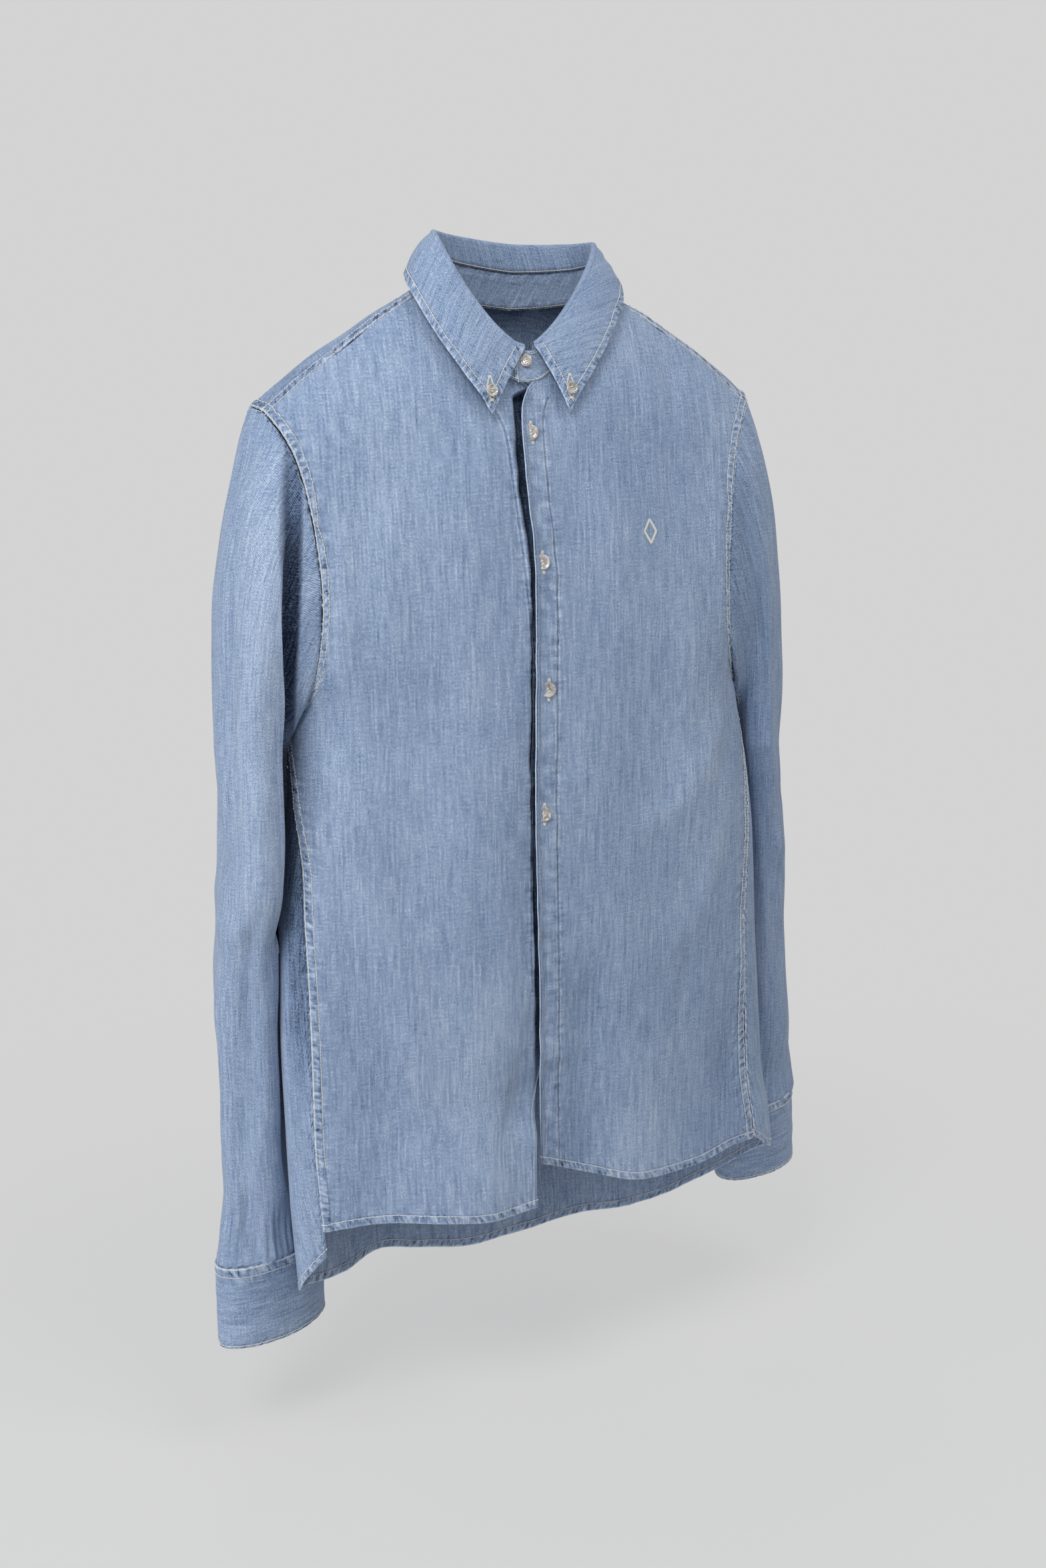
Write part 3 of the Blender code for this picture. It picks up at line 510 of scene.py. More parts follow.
def cloth_piece(name, grid, relief, thick, finish, grain, seams, row_gap=None, worn=None, tube=0.0):
    """A closed wall of cloth, whose right side is the grid raised by its relief.

    grain is (across, along) metres for the weave, seams is (run, share of the band), row_gap is how far a
    row of stitching inside the panel is, and worn is how far the cloth is rubbed pale, and where it is
    below 0, mostly how far painted shade darkens it. Tube is the width of a panel whose sides are sewn to
    each other."""
    rows, columns = grid.shape[:2]
    smooth = hang(grid)
    right_side = smooth + normals_of(smooth, tube) * relief[..., None]
    facing = normals_of(right_side, tube)
    wrong_side = right_side - facing * thick[..., None]
    points = np.concatenate([right_side.reshape(-1, 3), wrong_side.reshape(-1, 3)])
    number = np.arange(rows * columns).reshape(rows, columns)
    j = np.arange(columns if tube else columns - 1)
    k = (j + 1) % columns
    a, b, c, d = number[:-1, j], number[:-1, k], number[1:, k], number[1:, j]
    other = rows * columns
    faces = [np.stack([a, b, c, d], -1).reshape(-1, 4)]
    faces.append(np.stack([a + other, d + other, c + other, b + other], -1).reshape(-1, 4))
    low, high = number[0], number[-1]
    faces.append(np.stack([low[j], low[j] + other, low[k] + other, low[k]], -1))
    faces.append(np.stack([high[j], high[k], high[k] + other, high[j] + other], -1))
    if not tube:
        first, last = number[:, 0], number[:, -1]
        faces.append(np.stack([first[:-1], first[1:], first[1:] + other, first[:-1] + other], -1))
        faces.append(np.stack([last[:-1], last[:-1] + other, last[1:] + other, last[1:]], -1))
    faces = np.concatenate(faces)
    mesh = bpy.data.meshes.new(name)
    mesh.vertices.add(len(points))
    mesh.vertices.foreach_set("co", points.astype(np.float32).ravel())
    mesh.loops.add(faces.size)
    mesh.loops.foreach_set("vertex_index", faces.astype(np.int32).ravel())
    mesh.polygons.add(len(faces))
    mesh.polygons.foreach_set("loop_start", (np.arange(len(faces)) * 4).astype(np.int32))
    mesh.update(calc_edges=True)
    for field, (one, two) in (("cloth", grain), ("seams", seams)):
        pair = np.stack([np.broadcast_to(one, (rows, columns)), np.broadcast_to(two, (rows, columns))], -1)
        pair = np.tile(pair.reshape(-1, 2), (2, 1))[faces.ravel()]
        if tube and field == "cloth":
            pair = pair.reshape(-1, 4, 2)
            away = pair[:, :1, 0] - pair[:, :, 0]
            pair[:, :, 0] += np.where(np.abs(away) > 0.5 * tube, np.sign(away) * tube, 0)
            pair = pair.reshape(-1, 2)
        mesh.uv_layers.new(name=field).data.foreach_set("uv", pair.astype(np.float32).ravel())
    for field, values, missing in (("row_gap", row_gap, 1.0), ("worn", worn, 0.0)):
        values = np.full((rows, columns), missing) if values is None else values
        attribute = mesh.attributes.new(field, "FLOAT", "POINT")
        attribute.data.foreach_set("value", np.tile(values.ravel(), 2).astype(np.float32))
    mesh.materials.append(finish)
    mesh.shade_smooth()
    piece = bpy.data.objects.new(name, mesh)
    scene.collection.objects.link(piece)
    return {"piece": piece, "points": right_side, "facing": facing, "thick": thick}


def bumps(tree, height, strength, distance, **sockets):
    """The normal of a surface with fine bumps, over those of another if it is given."""
    sockets = {"Height": height, "Strength": strength, "Distance": distance, **sockets}
    return add_node(tree, "ShaderNodeBump", sockets).outputs[0]


def colour_ramp(tree, value, stops):
    """The colour at a value, from stops of (value, colour)."""
    ramp = add_node(tree, "ShaderNodeValToRGB", {"Fac": value})
    for _ in stops[2:]:
        ramp.color_ramp.elements.new(0.5)
    for element, (place, colour) in zip(ramp.color_ramp.elements, stops):
        element.position = place
        element.color = (*colour, 1)
    return ramp.outputs["Color"]


RIB = 0.00125  # from one rib of the twill to the next

# The cloth's colours, from unwashed indigo to threads rubbed nearly bare. The near-black first stop is
# there for painted shade, and is reached mainly where the colour is darkened in gaps and hollows
BLUES = (
    (0.0, (0.015, 0.027, 0.055)),
    (0.14, (0.120, 0.180, 0.300)),
    (0.5, (0.237, 0.323, 0.482)),
    (1.0, (0.560, 0.630, 0.735)),
)


def chambray(name, seed, tone=0.0):
    """Washed chambray: indigo warp over a pale weft in a fine twill, with slubs, rubbed seams and a nap.

    tone lightens the piece, or darkens it if it is negative."""
    constants = {"Specular IOR Level": 0.22, "Sheen Weight": 0.16, "Sheen Roughness": 0.45}
    material, tree, shader = new_material(name, constants)
    weave = add_node(tree, "ShaderNodeUVMap", uv_map="cloth").outputs[0]
    seams = add_node(tree, "ShaderNodeUVMap", uv_map="seams").outputs[0]
    gap = add_node(tree, "ShaderNodeAttribute", attribute_name="row_gap").outputs["Fac"]
    worn = add_node(tree, "ShaderNodeAttribute", attribute_name="worn").outputs["Fac"]

    def patches(per_across, per_along, detail, shift=0.0, source=weave):
        """Noise from about -0.5 to 0.5, with so many patches to the metre each way."""
        sockets = {0: source, 1: (per_across, per_along, 1), 2: (seed + shift, 0.3 * seed, 0)}
        place = add_node(tree, "ShaderNodeVectorMath", sockets, operation="MULTIPLY_ADD").outputs[0]
        sockets = {"Vector": place, "Scale": 1.0, "Detail": detail, "Roughness": 0.55}
        noise = add_node(tree, "ShaderNodeTexNoise", sockets, noise_dimensions="2D")
        return joined(tree, "SUBTRACT", noise.outputs["Fac"], 0.5)

    def times(*values):
        return joined(tree, "MULTIPLY", *values)

    def weighed(start, *parts):
        """The start and each (part, its weight), added up."""
        return joined(tree, "ADD", start, *(times(part, weight) for part, weight in parts))

    def fall(value, start, end):
        return rise(tree, value, start, end, 1.0, 0.0)

    def pair(one, two):
        return add_node(tree, "ShaderNodeCombineXYZ", {0: one, 1: two}).outputs[0]

    # The threads themselves
    warp = patches(800, 56, 2.0)
    slubs = patches(420, 22, 2.0, 5.0)
    streaks = patches(170, 12, 2.0, 9.0)
    wash = patches(16, 8, 3.0, 13.0)
    weft = patches(90, 760, 2.0, 17.0)
    speckle = patches(900, 900, 2.0, 21.0)
    split = add_node(tree, "ShaderNodeSeparateXYZ", {0: weave})
    slanting = joined(tree, "ADD", split.outputs["X"], split.outputs["Y"])
    ribs = weighed(times(slanting, math.tau / RIB), (speckle, 3.0))
    twill = add_node(tree, "ShaderNodeMath", {0: ribs}, operation="SINE").outputs[0]
    blue = weighed(0.5 + tone, (warp, 0.48), (slubs, 0.34), (streaks, 0.18), (wash, 0.20), (weft, 0.32),
                   (speckle, 0.92), (twill, 0.15))

    # The seams: a roped band, its rubbed edge, a furrow at its stitching and puckers beyond it
    places = add_node(tree, "ShaderNodeSeparateXYZ", {0: seams})
    run, share = places.outputs["X"], places.outputs["Y"]
    rope_at = pair(weighed(run, (share, 0.0026)), times(share, 0.006))
    rope = patches(1 / 0.0034, 130, 1.5, 30.0, rope_at)
    rays = patches(1 / 0.0052, 60, 1.5, 35.0, rope_at)
    band = fall(share, 0.86, 1.02)
    beyond = times(rise(tree, share, 0.98, 1.10), fall(share, 1.1, 2.9))
    furrow = times(rise(tree, share, 0.86, 1.0), fall(share, 1.0, 1.16))
    roped, puckered = times(band, rope), times(beyond, rays)
    rubbed = fall(share, 0.0, 0.26)
    seam_blue = weighed(times(roped, 1.4), (puckered, 0.55), (rubbed, 0.42), (furrow, -0.20), (band, -0.02))

    # A row of stitching inside the panel
    off_row = add_node(tree, "ShaderNodeMath", {0: gap}, operation="ABSOLUTE").outputs[0]
    row_furrow = fall(off_row, 0.0002, 0.0011)
    row_ridge = times(rise(tree, off_row, 0.0008, 0.0014), fall(off_row, 0.0014, 0.0030))
    row_patches = patches(1 / 0.0045, 90, 1.0, 41.0, pair(split.outputs["Y"], gap))
    row_rays = times(row_patches, fall(off_row, 0.001, 0.008))

    blue = joined(tree, "ADD", blue, seam_blue)
    # worn lightens rubbed cloth, and darkens it where shade is painted into the colour
    blue = weighed(blue, (row_furrow, -0.22), (row_ridge, 0.16), (row_rays, 0.5), (worn, 0.3))
    tree.links.new(colour_ramp(tree, blue, BLUES), shader.inputs["Base Color"])
    tree.links.new(rise(tree, blue, 0.0, 1.0, 0.78, 0.94), shader.inputs["Roughness"])
    threads = bumps(tree, weighed(times(twill, 0.25), (speckle, 1.0), (warp, 0.7)), 0.55, 0.00016)
    folds = weighed(roped, (puckered, 0.6), (row_rays, 0.6))
    tree.links.new(bumps(tree, folds, 0.7, 0.0011, Normal=threads), shader.inputs["Normal"])
    return material


THREAD_LIFT = 0.0001


def along_edge(made, edge, gap, start=0.0, end=1.0, inside=False):
    """A line beside an edge of a piece, as (points, facing). gap is one distance, or one for each row."""
    points, facing = made["points"], made["facing"]
    if inside:
        points, facing = points - facing * made["thick"][..., None], -facing
    reaches = edge_distances(points)[edge]
    if "row" in edge:
        points, facing, reaches = points.transpose(1, 0, 2), facing.transpose(1, 0, 2), reaches.T
    if "last" in edge:
        points, facing, reaches = points[:, ::-1], facing[:, ::-1], reaches[:, ::-1]
    found = []
    for line, faces, reach, at in zip(points, facing, reaches, np.broadcast_to(gap, len(points))):
        both = np.concatenate([line, faces], axis=1)
        found.append([np.interp(at, reach, column) for column in both.T])
    found = np.array(found)[int(start * (len(found) - 1)) : int(end * (len(found) - 1)) + 1]
    return found[:, :3] + found[:, 3:] * THREAD_LIFT, found[:, 3:]


def new_tree(name, inputs):
    """A Geometry Nodes tree with named inputs of (name, kind, value), and its first node, as curves."""
    tree = bpy.data.node_groups.new(name, "GeometryNodeTree")
    tree.interface.new_socket("Line", in_out="INPUT", socket_type="NodeSocketGeometry")
    tree.interface.new_socket("Threads", in_out="OUTPUT", socket_type="NodeSocketGeometry")
    for label, kind, value in (*inputs, ("Thread", "Material", None)):
        socket = tree.interface.new_socket(label, in_out="INPUT", socket_type="NodeSocket" + kind)
        if value is not None:
            socket.default_value = value
    given = tree.nodes.new("NodeGroupInput").outputs
    line = add_node(tree, "GeometryNodeMeshToCurve", {"Mesh": given["Line"]}).outputs[0]
    return tree, given, line


def round_thread(tree, curve, sides, radius):
    """A tube along a curve, closed at its ends."""
    sockets = {"Resolution": sides, "Radius": radius}
    ring = add_node(tree, "GeometryNodeCurvePrimitiveCircle", sockets, mode="RADIUS").outputs["Curve"]
    sockets = {"Curve": curve, "Profile Curve": ring, "Fill Caps": True}
    return add_node(tree, "GeometryNodeCurveToMesh", sockets).outputs[0]


def end_tree(tree, shape, thread):
    """The tree, with the shape as its output: one plain mesh in its thread's material."""
    plain = add_node(tree, "GeometryNodeRealizeInstances", {0: shape}).outputs[0]
    sockets = {"Geometry": plain, "Material": thread}
    coloured = add_node(tree, "GeometryNodeSetMaterial", sockets).outputs[0]
    tree.links.new(coloured, tree.nodes.new("NodeGroupOutput").inputs[0])
    return tree


def topstitch_tree():
    """Short arched stitches laid along each line, facing the way that the cloth faces."""
    inputs = (
        ("Pitch", "Float", 0.0025),
        ("Stitch length", "Float", 0.0019),
        ("Thread radius", "Float", 0.00032),
        ("Arch", "Float", 0.00024),
        ("Turn", "Float", 0.0),
        ("Unevenness", "Float", 0.12),
        ("Seed", "Int", 7),
    )
    tree, given, line = new_tree("topstitch", inputs)

    def point_of(x, z):
        return add_node(tree, "ShaderNodeCombineXYZ", {0: x, 2: z}).outputs[0]

    sockets = {"Curve": line, "Length": given["Pitch"]}
    spaced = add_node(tree, "GeometryNodeResampleCurve", sockets, mode="LENGTH").outputs[0]
    sockets = {"Name": "facing"}
    facing = add_node(tree, "GeometryNodeInputNamedAttribute", sockets, data_type="FLOAT_VECTOR")
    tangent = tree.nodes.new("GeometryNodeInputTangent").outputs[0]
    along = add_node(tree, "FunctionNodeAlignRotationToVector", {"Vector": tangent}, axis="X").outputs[0]
    sockets = {"Rotation": along, "Vector": facing.outputs["Attribute"]}
    upright = add_node(tree, "FunctionNodeAlignRotationToVector", sockets, axis="Z", pivot_axis="X")
    sockets = {2: -0.5, 3: 0.5, "Seed": given["Seed"]}
    spread = add_node(tree, "FunctionNodeRandomValue", sockets, data_type="FLOAT").outputs[1]
    wander = joined(tree, "MULTIPLY", spread, given["Unevenness"])
    turned = point_of(0.0, joined(tree, "ADD", wander, given["Turn"]))
    spin = add_node(tree, "FunctionNodeEulerToRotation", {0: turned}).outputs[0]
    sockets = {"Rotation": upright.outputs[0], "Rotate By": spin}
    laid = add_node(tree, "FunctionNodeRotateRotation", sockets, rotation_space="LOCAL").outputs[0]
    half = joined(tree, "MULTIPLY", given["Stitch length"], 0.5)
    low = joined(tree, "MULTIPLY", given["Arch"], -1.0)
    first = point_of(joined(tree, "MULTIPLY", half, -1.0), low)
    middle = point_of(0.0, joined(tree, "MULTIPLY", given["Arch"], 1.6))
    sockets = {"Resolution": 4, "Start": first, "Middle": middle, "End": point_of(half, low)}
    bow = add_node(tree, "GeometryNodeCurveQuadraticBezier", sockets).outputs[0]
    stitch = round_thread(tree, bow, 5, given["Thread radius"])
    sockets = {"Points": spaced, "Instance": stitch, "Rotation": laid}
    set_out = add_node(tree, "GeometryNodeInstanceOnPoints", sockets).outputs[0]
    return end_tree(tree, set_out, given["Thread"])


def sewn(name, lines, tree, **inputs):
    """A piece made by a Geometry Nodes tree along lines of (points, facing)."""
    points = np.concatenate([line for line, _ in lines])
    faces = np.concatenate([facing for _, facing in lines])
    edges = []
    start = 0
    for line, _ in lines:
        edges += [(start + k, start + k + 1) for k in range(len(line) - 1)]
        start += len(line)
    piece = new_mesh_object(name, points, [], edges=edges)
    attribute = piece.data.attributes.new("facing", "FLOAT_VECTOR", "POINT")
    attribute.data.foreach_set("vector", faces.astype(np.float32).ravel())
    modifier = piece.modifiers.new("threads", "NODES")
    modifier.node_group = tree
    sockets = {item.name: item.identifier for item in tree.interface.items_tree if item.in_out == "INPUT"}
    for label, value in inputs.items():
        modifier[sockets[label.replace("_", " ")]] = value
    graph = bpy.context.evaluated_depsgraph_get()
    plain = bpy.data.meshes.new_from_object(piece.evaluated_get(graph))
    piece.modifiers.clear()
    piece.data = plain
    plain.shade_smooth()
    return piece


def noise(tree, place, scale, detail, distortion=0.0):
    sockets = {"Vector": place, "Scale": scale, "Detail": detail, "Distortion": distortion}
    return add_node(tree, "ShaderNodeTexNoise", sockets).outputs["Fac"]


def thread_material(name, colour, seed):
    """Twisted cotton thread, with a slight ply and uneven dirt."""
    material, tree, shader = new_material(name, {"Roughness": 0.7, "Sheen Weight": 0.2})
    place = add_node(tree, "ShaderNodeTexCoord").outputs["Object"]
    ply = noise(tree, place, 2600.0, 1.0, seed)
    dirt = noise(tree, place, 60.0, 2.0)
    amount = joined(tree, "ADD", joined(tree, "MULTIPLY", ply, 0.5), dirt, -0.35)
    shade = add_node(tree, "ShaderNodeMix", {"Factor": amount}, data_type="RGBA")
    shade.inputs[6].default_value = (*(0.60 * part for part in colour), 1)
    shade.inputs[7].default_value = (*colour, 1)
    tree.links.new(shade.outputs[2], shader.inputs["Base Color"])
    tree.links.new(bumps(tree, ply, 0.5, 0.0001), shader.inputs["Normal"])
    return material


def finished(made, node, stitches):
    """The calls that put a cloth piece in the frame for the node that it stands for, with its stitches."""
    piece = made["piece"]
    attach(piece, "root")
    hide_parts(node)
    for threads in stitches:
        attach(threads, "root")


topstitch = topstitch_tree()
cream_thread = thread_material("cream thread", (0.93, 0.90, 0.80), 0.2)
blue_thread = thread_material("blue thread", (0.30, 0.35, 0.44), 0.4)


def topstitched(name, rows, seed, thread=cream_thread, **sizes):
    """Stitches along rows of (points, facing), in the usual sizes or others."""
    return sewn(name, rows, topstitch, Thread=thread, Seed=seed, **sizes)


shares = crowded(56, (1.0, 0.12, 4.0))
rows = crowded(430, (0.0, 0.03, 1.7), (1.0, 0.03, 1.7))
near_armpit = bell(2 * rows - 1, 0.11)
half_back = []
for side in (1, -1):
    half = grid_of(partial(back_point, side), np.linspace(0, 2, 130), shares, rows)
    half_back.append(eased(half, near_armpit))
back_grid = np.concatenate([half_back[0][:, ::-1], half_back[1][:, 1:]], axis=1)
across, height = -back_grid[..., 0], back_grid[..., 2]
relief, thick, run, share = sewn_edges(
    back_grid,
    seed=11,
    first_row=(0.0065, 0.0007, 0.00030),
    first_column=(0.0030, 0.0003, 0.00020),
    last_column=(0.0030, 0.0003, 0.00020),
    last_row=(0.0030, 0.0003, 0.00025),
)
relief += 0.0016 * unevenness(across, height, (0.16, 0.50), 3) * ease(height, -0.09, -0.20)
relief += 0.0007 * unevenness(across, height, (0.06, 0.16), 4)
for path, size, width in (
    (((-0.10, -0.13), (-0.105, -0.30), (-0.10, -0.52)), 0.0045, 0.020),
    (((0.11, -0.14), (0.115, -0.32), (0.10, -0.50)), 0.0040, 0.022),
    (((-0.16, -0.30), (-0.10, -0.38), (-0.02, -0.42)), 0.0030, 0.016),
    (((0.17, -0.31), (0.12, -0.37), (0.04, -0.40)), 0.0030, 0.015),
    (((-0.06, -0.47), (-0.02, -0.60), (-0.03, -0.74)), 0.0040, 0.026),
    (((0.06, -0.50), (0.08, -0.62), (0.07, -0.74)), -0.0040, 0.024),
    (((-0.13, -0.52), (-0.14, -0.63), (-0.13, -0.73)), -0.0030, 0.018),
):
    relief += crease(across, height, path, size, width)
# Painted shade under the right arm, where the sleeve lies against the back: the colour is darkened there
shade_under_arm = fades(edge_distances(back_grid)["last_column"], 0.012, 0.034)
shade_under_arm *= ease(height, -0.60, -0.50) * fades(height, -0.31, -0.28)
back = cloth_piece(
    "back_panel",
    back_grid,
    relief,
    thick,
    chambray("chambray back", 1.7),
    (-laid_flat(back_grid, back_grid.shape[1] // 2), height),
    (run, share),
    worn=-1.3 * shade_under_arm,
)
back_rows = [along_edge(back, "first_row", HEM_ROW, inside=inside) for inside in (False, True)]
back_stitches = topstitched("back_stitches", back_rows, 1)
finished(back, "back", [back_stitches])

# Yoke
# A shaped panel over the shoulders, from one front seam round the back of the neck to the other. Its edges
# are turned under and topstitched in two rows on the fronts, sleeves and back, and pucker in the wash.

NECK_HALF_WIDTH = 0.068
NECK_FRONT = 0.060
NECK_BACK = 0.050
NECK_MIDDLE_FRONT = -0.007  # where the middle of the neck lies across, at the front
NECK_MIDDLE_BACK = 0.012  # and at the back
YOKE_ROWS = (0.0010, 0.0066)  # from its edges to its rows of stitching
YOKE_TURN = 78  # degrees round the neck at which the front seam starts
YOKE_CORNER_TURN = 128  # and the line to the armhole's back corner
YOKE_FRONT_CROWN = Vector((0, -0.002, 0.006))  # how far it curves out between the neck and the arm
YOKE_BACK_CROWN = Vector((0, 0.007, 0.009))

# The neck edge of the fronts and yoke, the stand's top and the leaf's roll, by degrees from the closing
NECK = table(
    "turn seam_height stand_height roll_height",
    (0, -0.0720, -0.0515, -0.0475),
    (8, -0.0705, -0.0505, -0.0440),
    (22, -0.0600, -0.0370, -0.0310),
    (40, -0.043, -0.0160, -0.0100),
    (60, -0.021, 0.0030, 0.0130),
    (75, -0.008, 0.0130, 0.0260),
    (90, -0.001, 0.0180, 0.0330),
    (135, -0.009, 0.0170, 0.0350),
    (180, -0.013, 0.0145, 0.0340),
)


def neck_middle(angle):
    return mix(NECK_MIDDLE_BACK, NECK_MIDDLE_FRONT, (1 + math.cos(angle)) / 2)


def neck_point(turn, column, outward=0.0):
    """A point round the neck, in degrees from the closing toward the wearer's left."""
    angle = math.radians(turn)
    folded = abs((turn + 180) % 360 - 180)
    depth = NECK_FRONT if math.cos(angle) > 0 else NECK_BACK
    across = neck_middle(angle) + (NECK_HALF_WIDTH + outward) * math.sin(angle)
    return Vector((across, -(depth + outward) * math.cos(angle), read(NECK, column, folded)))


def crowned(inner, outer, share, crown):
    """A point of the line between two points, raised in its middle by a crown."""
    return inner.lerp(outer, share) + crown * 4 * share * (1 - share)


def yoke_front(side, share):
    """The seam between front and yoke, from the neck to the armhole."""
    inner = neck_point(side * YOKE_TURN, "seam_height")
    return crowned(inner, armhole(side, FRONT_YOKE_TURN), share, YOKE_FRONT_CROWN)


def yoke_back(side, share):
    """The seam between back and yoke, from the middle of the back to the armhole."""
    inner = Vector((0, read(CENTRE_BACK, "depth", YOKE_BACK_CENTRE), YOKE_BACK_CENTRE))
    return arc_point(inner, armhole(side, BACK_YOKE_TURN), math.radians(YOKE_BACK_SWEEP), share)


def yoke_point(side, share, round_neck):
    """A point of half the yoke. round_neck 0 is the front seam, 1 the back corner and 2 the middle back."""
    if round_neck <= 1:
        inner = neck_point(side * mix(YOKE_TURN, YOKE_CORNER_TURN, round_neck), "seam_height")
        outer = armhole(side, mix(FRONT_YOKE_TURN, BACK_YOKE_TURN - 360, round_neck) % 360)
    else:
        inner = neck_point(side * mix(YOKE_CORNER_TURN, 180, round_neck - 1), "seam_height")
        outer = yoke_back(side, 2 - round_neck)
    crown = YOKE_FRONT_CROWN.lerp(YOKE_BACK_CROWN, float(ease(round_neck, 0, 1.6)))
    return crowned(inner, outer, share, crown)


shares = crowded(88, (1.0, 0.08, 2.2))
places = crowded(150, (0.0, 0.10, 2.5))
half_yoke = [grid_of(partial(yoke_point, side), np.linspace(0, 2, 61), shares, places) for side in (1, -1)]
yoke_grid = np.concatenate([half_yoke[0], half_yoke[1][-2::-1]], axis=0)
relief, thick, run, share = sewn_edges(
    yoke_grid,
    seed=21,
    first_row=(0.0066, 0.0010, 0.00036),
    last_row=(0.0066, 0.0010, 0.00036),
    last_column=(0.0066, 0.0009, 0.00032),
)
gaps = edge_distances(yoke_grid)
from_front = np.minimum(gaps["first_row"], gaps["last_row"])
ladder = ease(from_front, 0.006, 0.009) * fades(from_front, 0.014, 0.020)
relief += 0.0004 * ladder * unevenness(gaps["first_column"], from_front, (0.0048, 0.03), 23)
relief += 0.0006 * unevenness(yoke_grid[..., 0], yoke_grid[..., 1], (0.05, 0.05), 24)
yoke = cloth_piece(
    "yoke_panel",
    yoke_grid,
    relief,
    thick,
    chambray("chambray yoke", 4.1, -0.11),
    (-yoke_grid[..., 1], yoke_grid[..., 0]),
    (run, share),
)
yoke_rows = []
for edge, start in (("first_row", 0.02), ("last_row", 0.02), ("last_column", 0.0)):
    yoke_rows += [along_edge(yoke, edge, gap, start) for gap in YOKE_ROWS]
yoke_stitches = topstitched("yoke_stitches", yoke_rows, 2)
finished(yoke, "yoke", [yoke_stitches])

# Fronts
# Two panels that close on the wearer's left over right. Each front edge is turned inward as a plain 18 mm
# band with one row of stitching. The left one carries the buttonholes, and each has a curved, stitched hem.

ONE_WALL = 0.0014
LAP_GAP = 0.0010
LAP_FADE = 0.050  # width over which the right front comes back level with the left
NECK_REACH = {-1: -11, 1: -8}  # degrees from the closing at which each front's neck edge starts
PLACKET = 0.018  # width of the band down the left front
SIDE_ROWS = (0.0011, 0.0068)  # from the side seam to its rows of stitching
SIDE_ROWS_START = {-1: 0.082, 1: 0.008}  # share of the way up at which they start
UNDER_ROW_START = 0.4215  # share of the way up at which the right front's inner row starts to show
NECK_PIT_TURN = 88  # degrees round the armhole, level with the pit of the neck
NECK_PIT_SWEEP = 52  # degrees of arc across a front at that level
YOKE_SWEEP = 30  # and at the yoke

HEM_FRONT = table(
    "share right left",
    (0.00, -0.6755, -0.6475),
    (0.05, -0.6775, -0.6545),
    (0.13, -0.6780, -0.6630),
    (0.30, -0.6755, -0.6750),
    (0.55, -0.6725, -0.6760),
    (0.78, -0.6733, -0.6710),
    (1.00, -0.6755, -0.6700),
)

# The parting of the fronts below the last button: how far each is pushed forward or back at the closing
PARTING = table(
    "height right left",
    (-0.700, -0.013, 0.009),
    (-0.650, -0.010, 0.007),
    (-0.610, -0.004, 0.005),
    (-0.590, 0.000, 0.004),
    (-0.560, 0.000, 0.002),
    (-0.500, 0.000, 0.000),
)

# How far in the row of stitching of the right front's band lies
UNDER_ROW = table(
    "height gap",
    (-0.300, 0.024),
    (-0.250, 0.024),
    (-0.200, 0.027),
    (-0.145, 0.031),
    (-0.086, 0.036),
)


def closing_point(side, height):
    """The edge of a front at one level. The left front laps over the right."""
    return Vector((read(CLOSING, SIDES[side] + "_edge", height), -read(CLOSING, "depth", height), height))


def parted(side, point, edge):
    """The point of a front, moved under the other front or apart from it below the last button."""
    away = abs(point.x - edge)
    back_by = read(PARTING, "left", point.z)
    if side > 0:
        point.y += back_by * fades(away, 0.01, 0.13)
        return point
    lapped = fades(away, 0.020, 0.036) * ease(point.z, -0.625, -0.595)
    point.y += (ONE_WALL + LAP_GAP) * fades(away, 0.02, LAP_FADE)
    forward_by = read(PARTING, "right", point.z) * (1 - lapped) * fades(away, 0.04, 0.14)
    point.y += back_by * lapped + forward_by
    return point


def upper_row(side, level):
    """The ends of a front's row from the pit of the neck, level 2, up to the yoke, level 3."""
    inner = neck_point(side * mix(NECK_REACH[side], YOKE_TURN, level - 2), "seam_height")
    return inner, armhole(side, mix(NECK_PIT_TURN, FRONT_YOKE_TURN, level - 2))


def yoke_row(side, share, level):
    """The line that the upper rows of a front come to, shaped like the yoke seam."""
    inner, outer = upper_row(side, level)
    straight = yoke_front(side, 0).lerp(yoke_front(side, 1), share)
    return yoke_front(side, share) + inner.lerp(outer, share) - straight


def front_point(side, share, level):
    """A point of a front. Level 0 is the hem, 1 the armpit, 2 the pit of the neck and 3 the yoke seam."""
    if level <= 1:
        height = mix(read(HEM_FRONT, SIDES[side], share), ARMPIT, level)
        inner, outer = closing_point(side, height), side_seam(side, height)
        sweep = read(BODY, "seam", height)
    elif level <= 2:
        height = mix(ARMPIT, NECK["seam_height"][0], level - 1)
        inner = closing_point(side, height)
        outer = armhole(side, mix(180, NECK_PIT_TURN, level - 1))
        sweep = mix(read(BODY, "seam", ARMPIT), NECK_PIT_SWEEP, level - 1)
    else:
        inner, outer = upper_row(side, level)
        sweep = mix(NECK_PIT_SWEEP, YOKE_SWEEP, level - 2)
    point = arc_point(inner, outer, math.radians(sweep), share)
    if level > 2:
        point = point.lerp(yoke_row(side, share, level), float(ease(level, 2, 3)))
        if side < 0:
            under = fades(share, 0.04, 0.3) * fades(level, 2.25, 2.75)
            point.y += (ONE_WALL + LAP_GAP) * under
        return point
    lower = read(CLOSING, "depth", point.z) - read(CLOSING, "depth", inner.z)
    point.y -= lower * fades(share, 0.1, 0.5)
    return parted(side, point, inner.x)


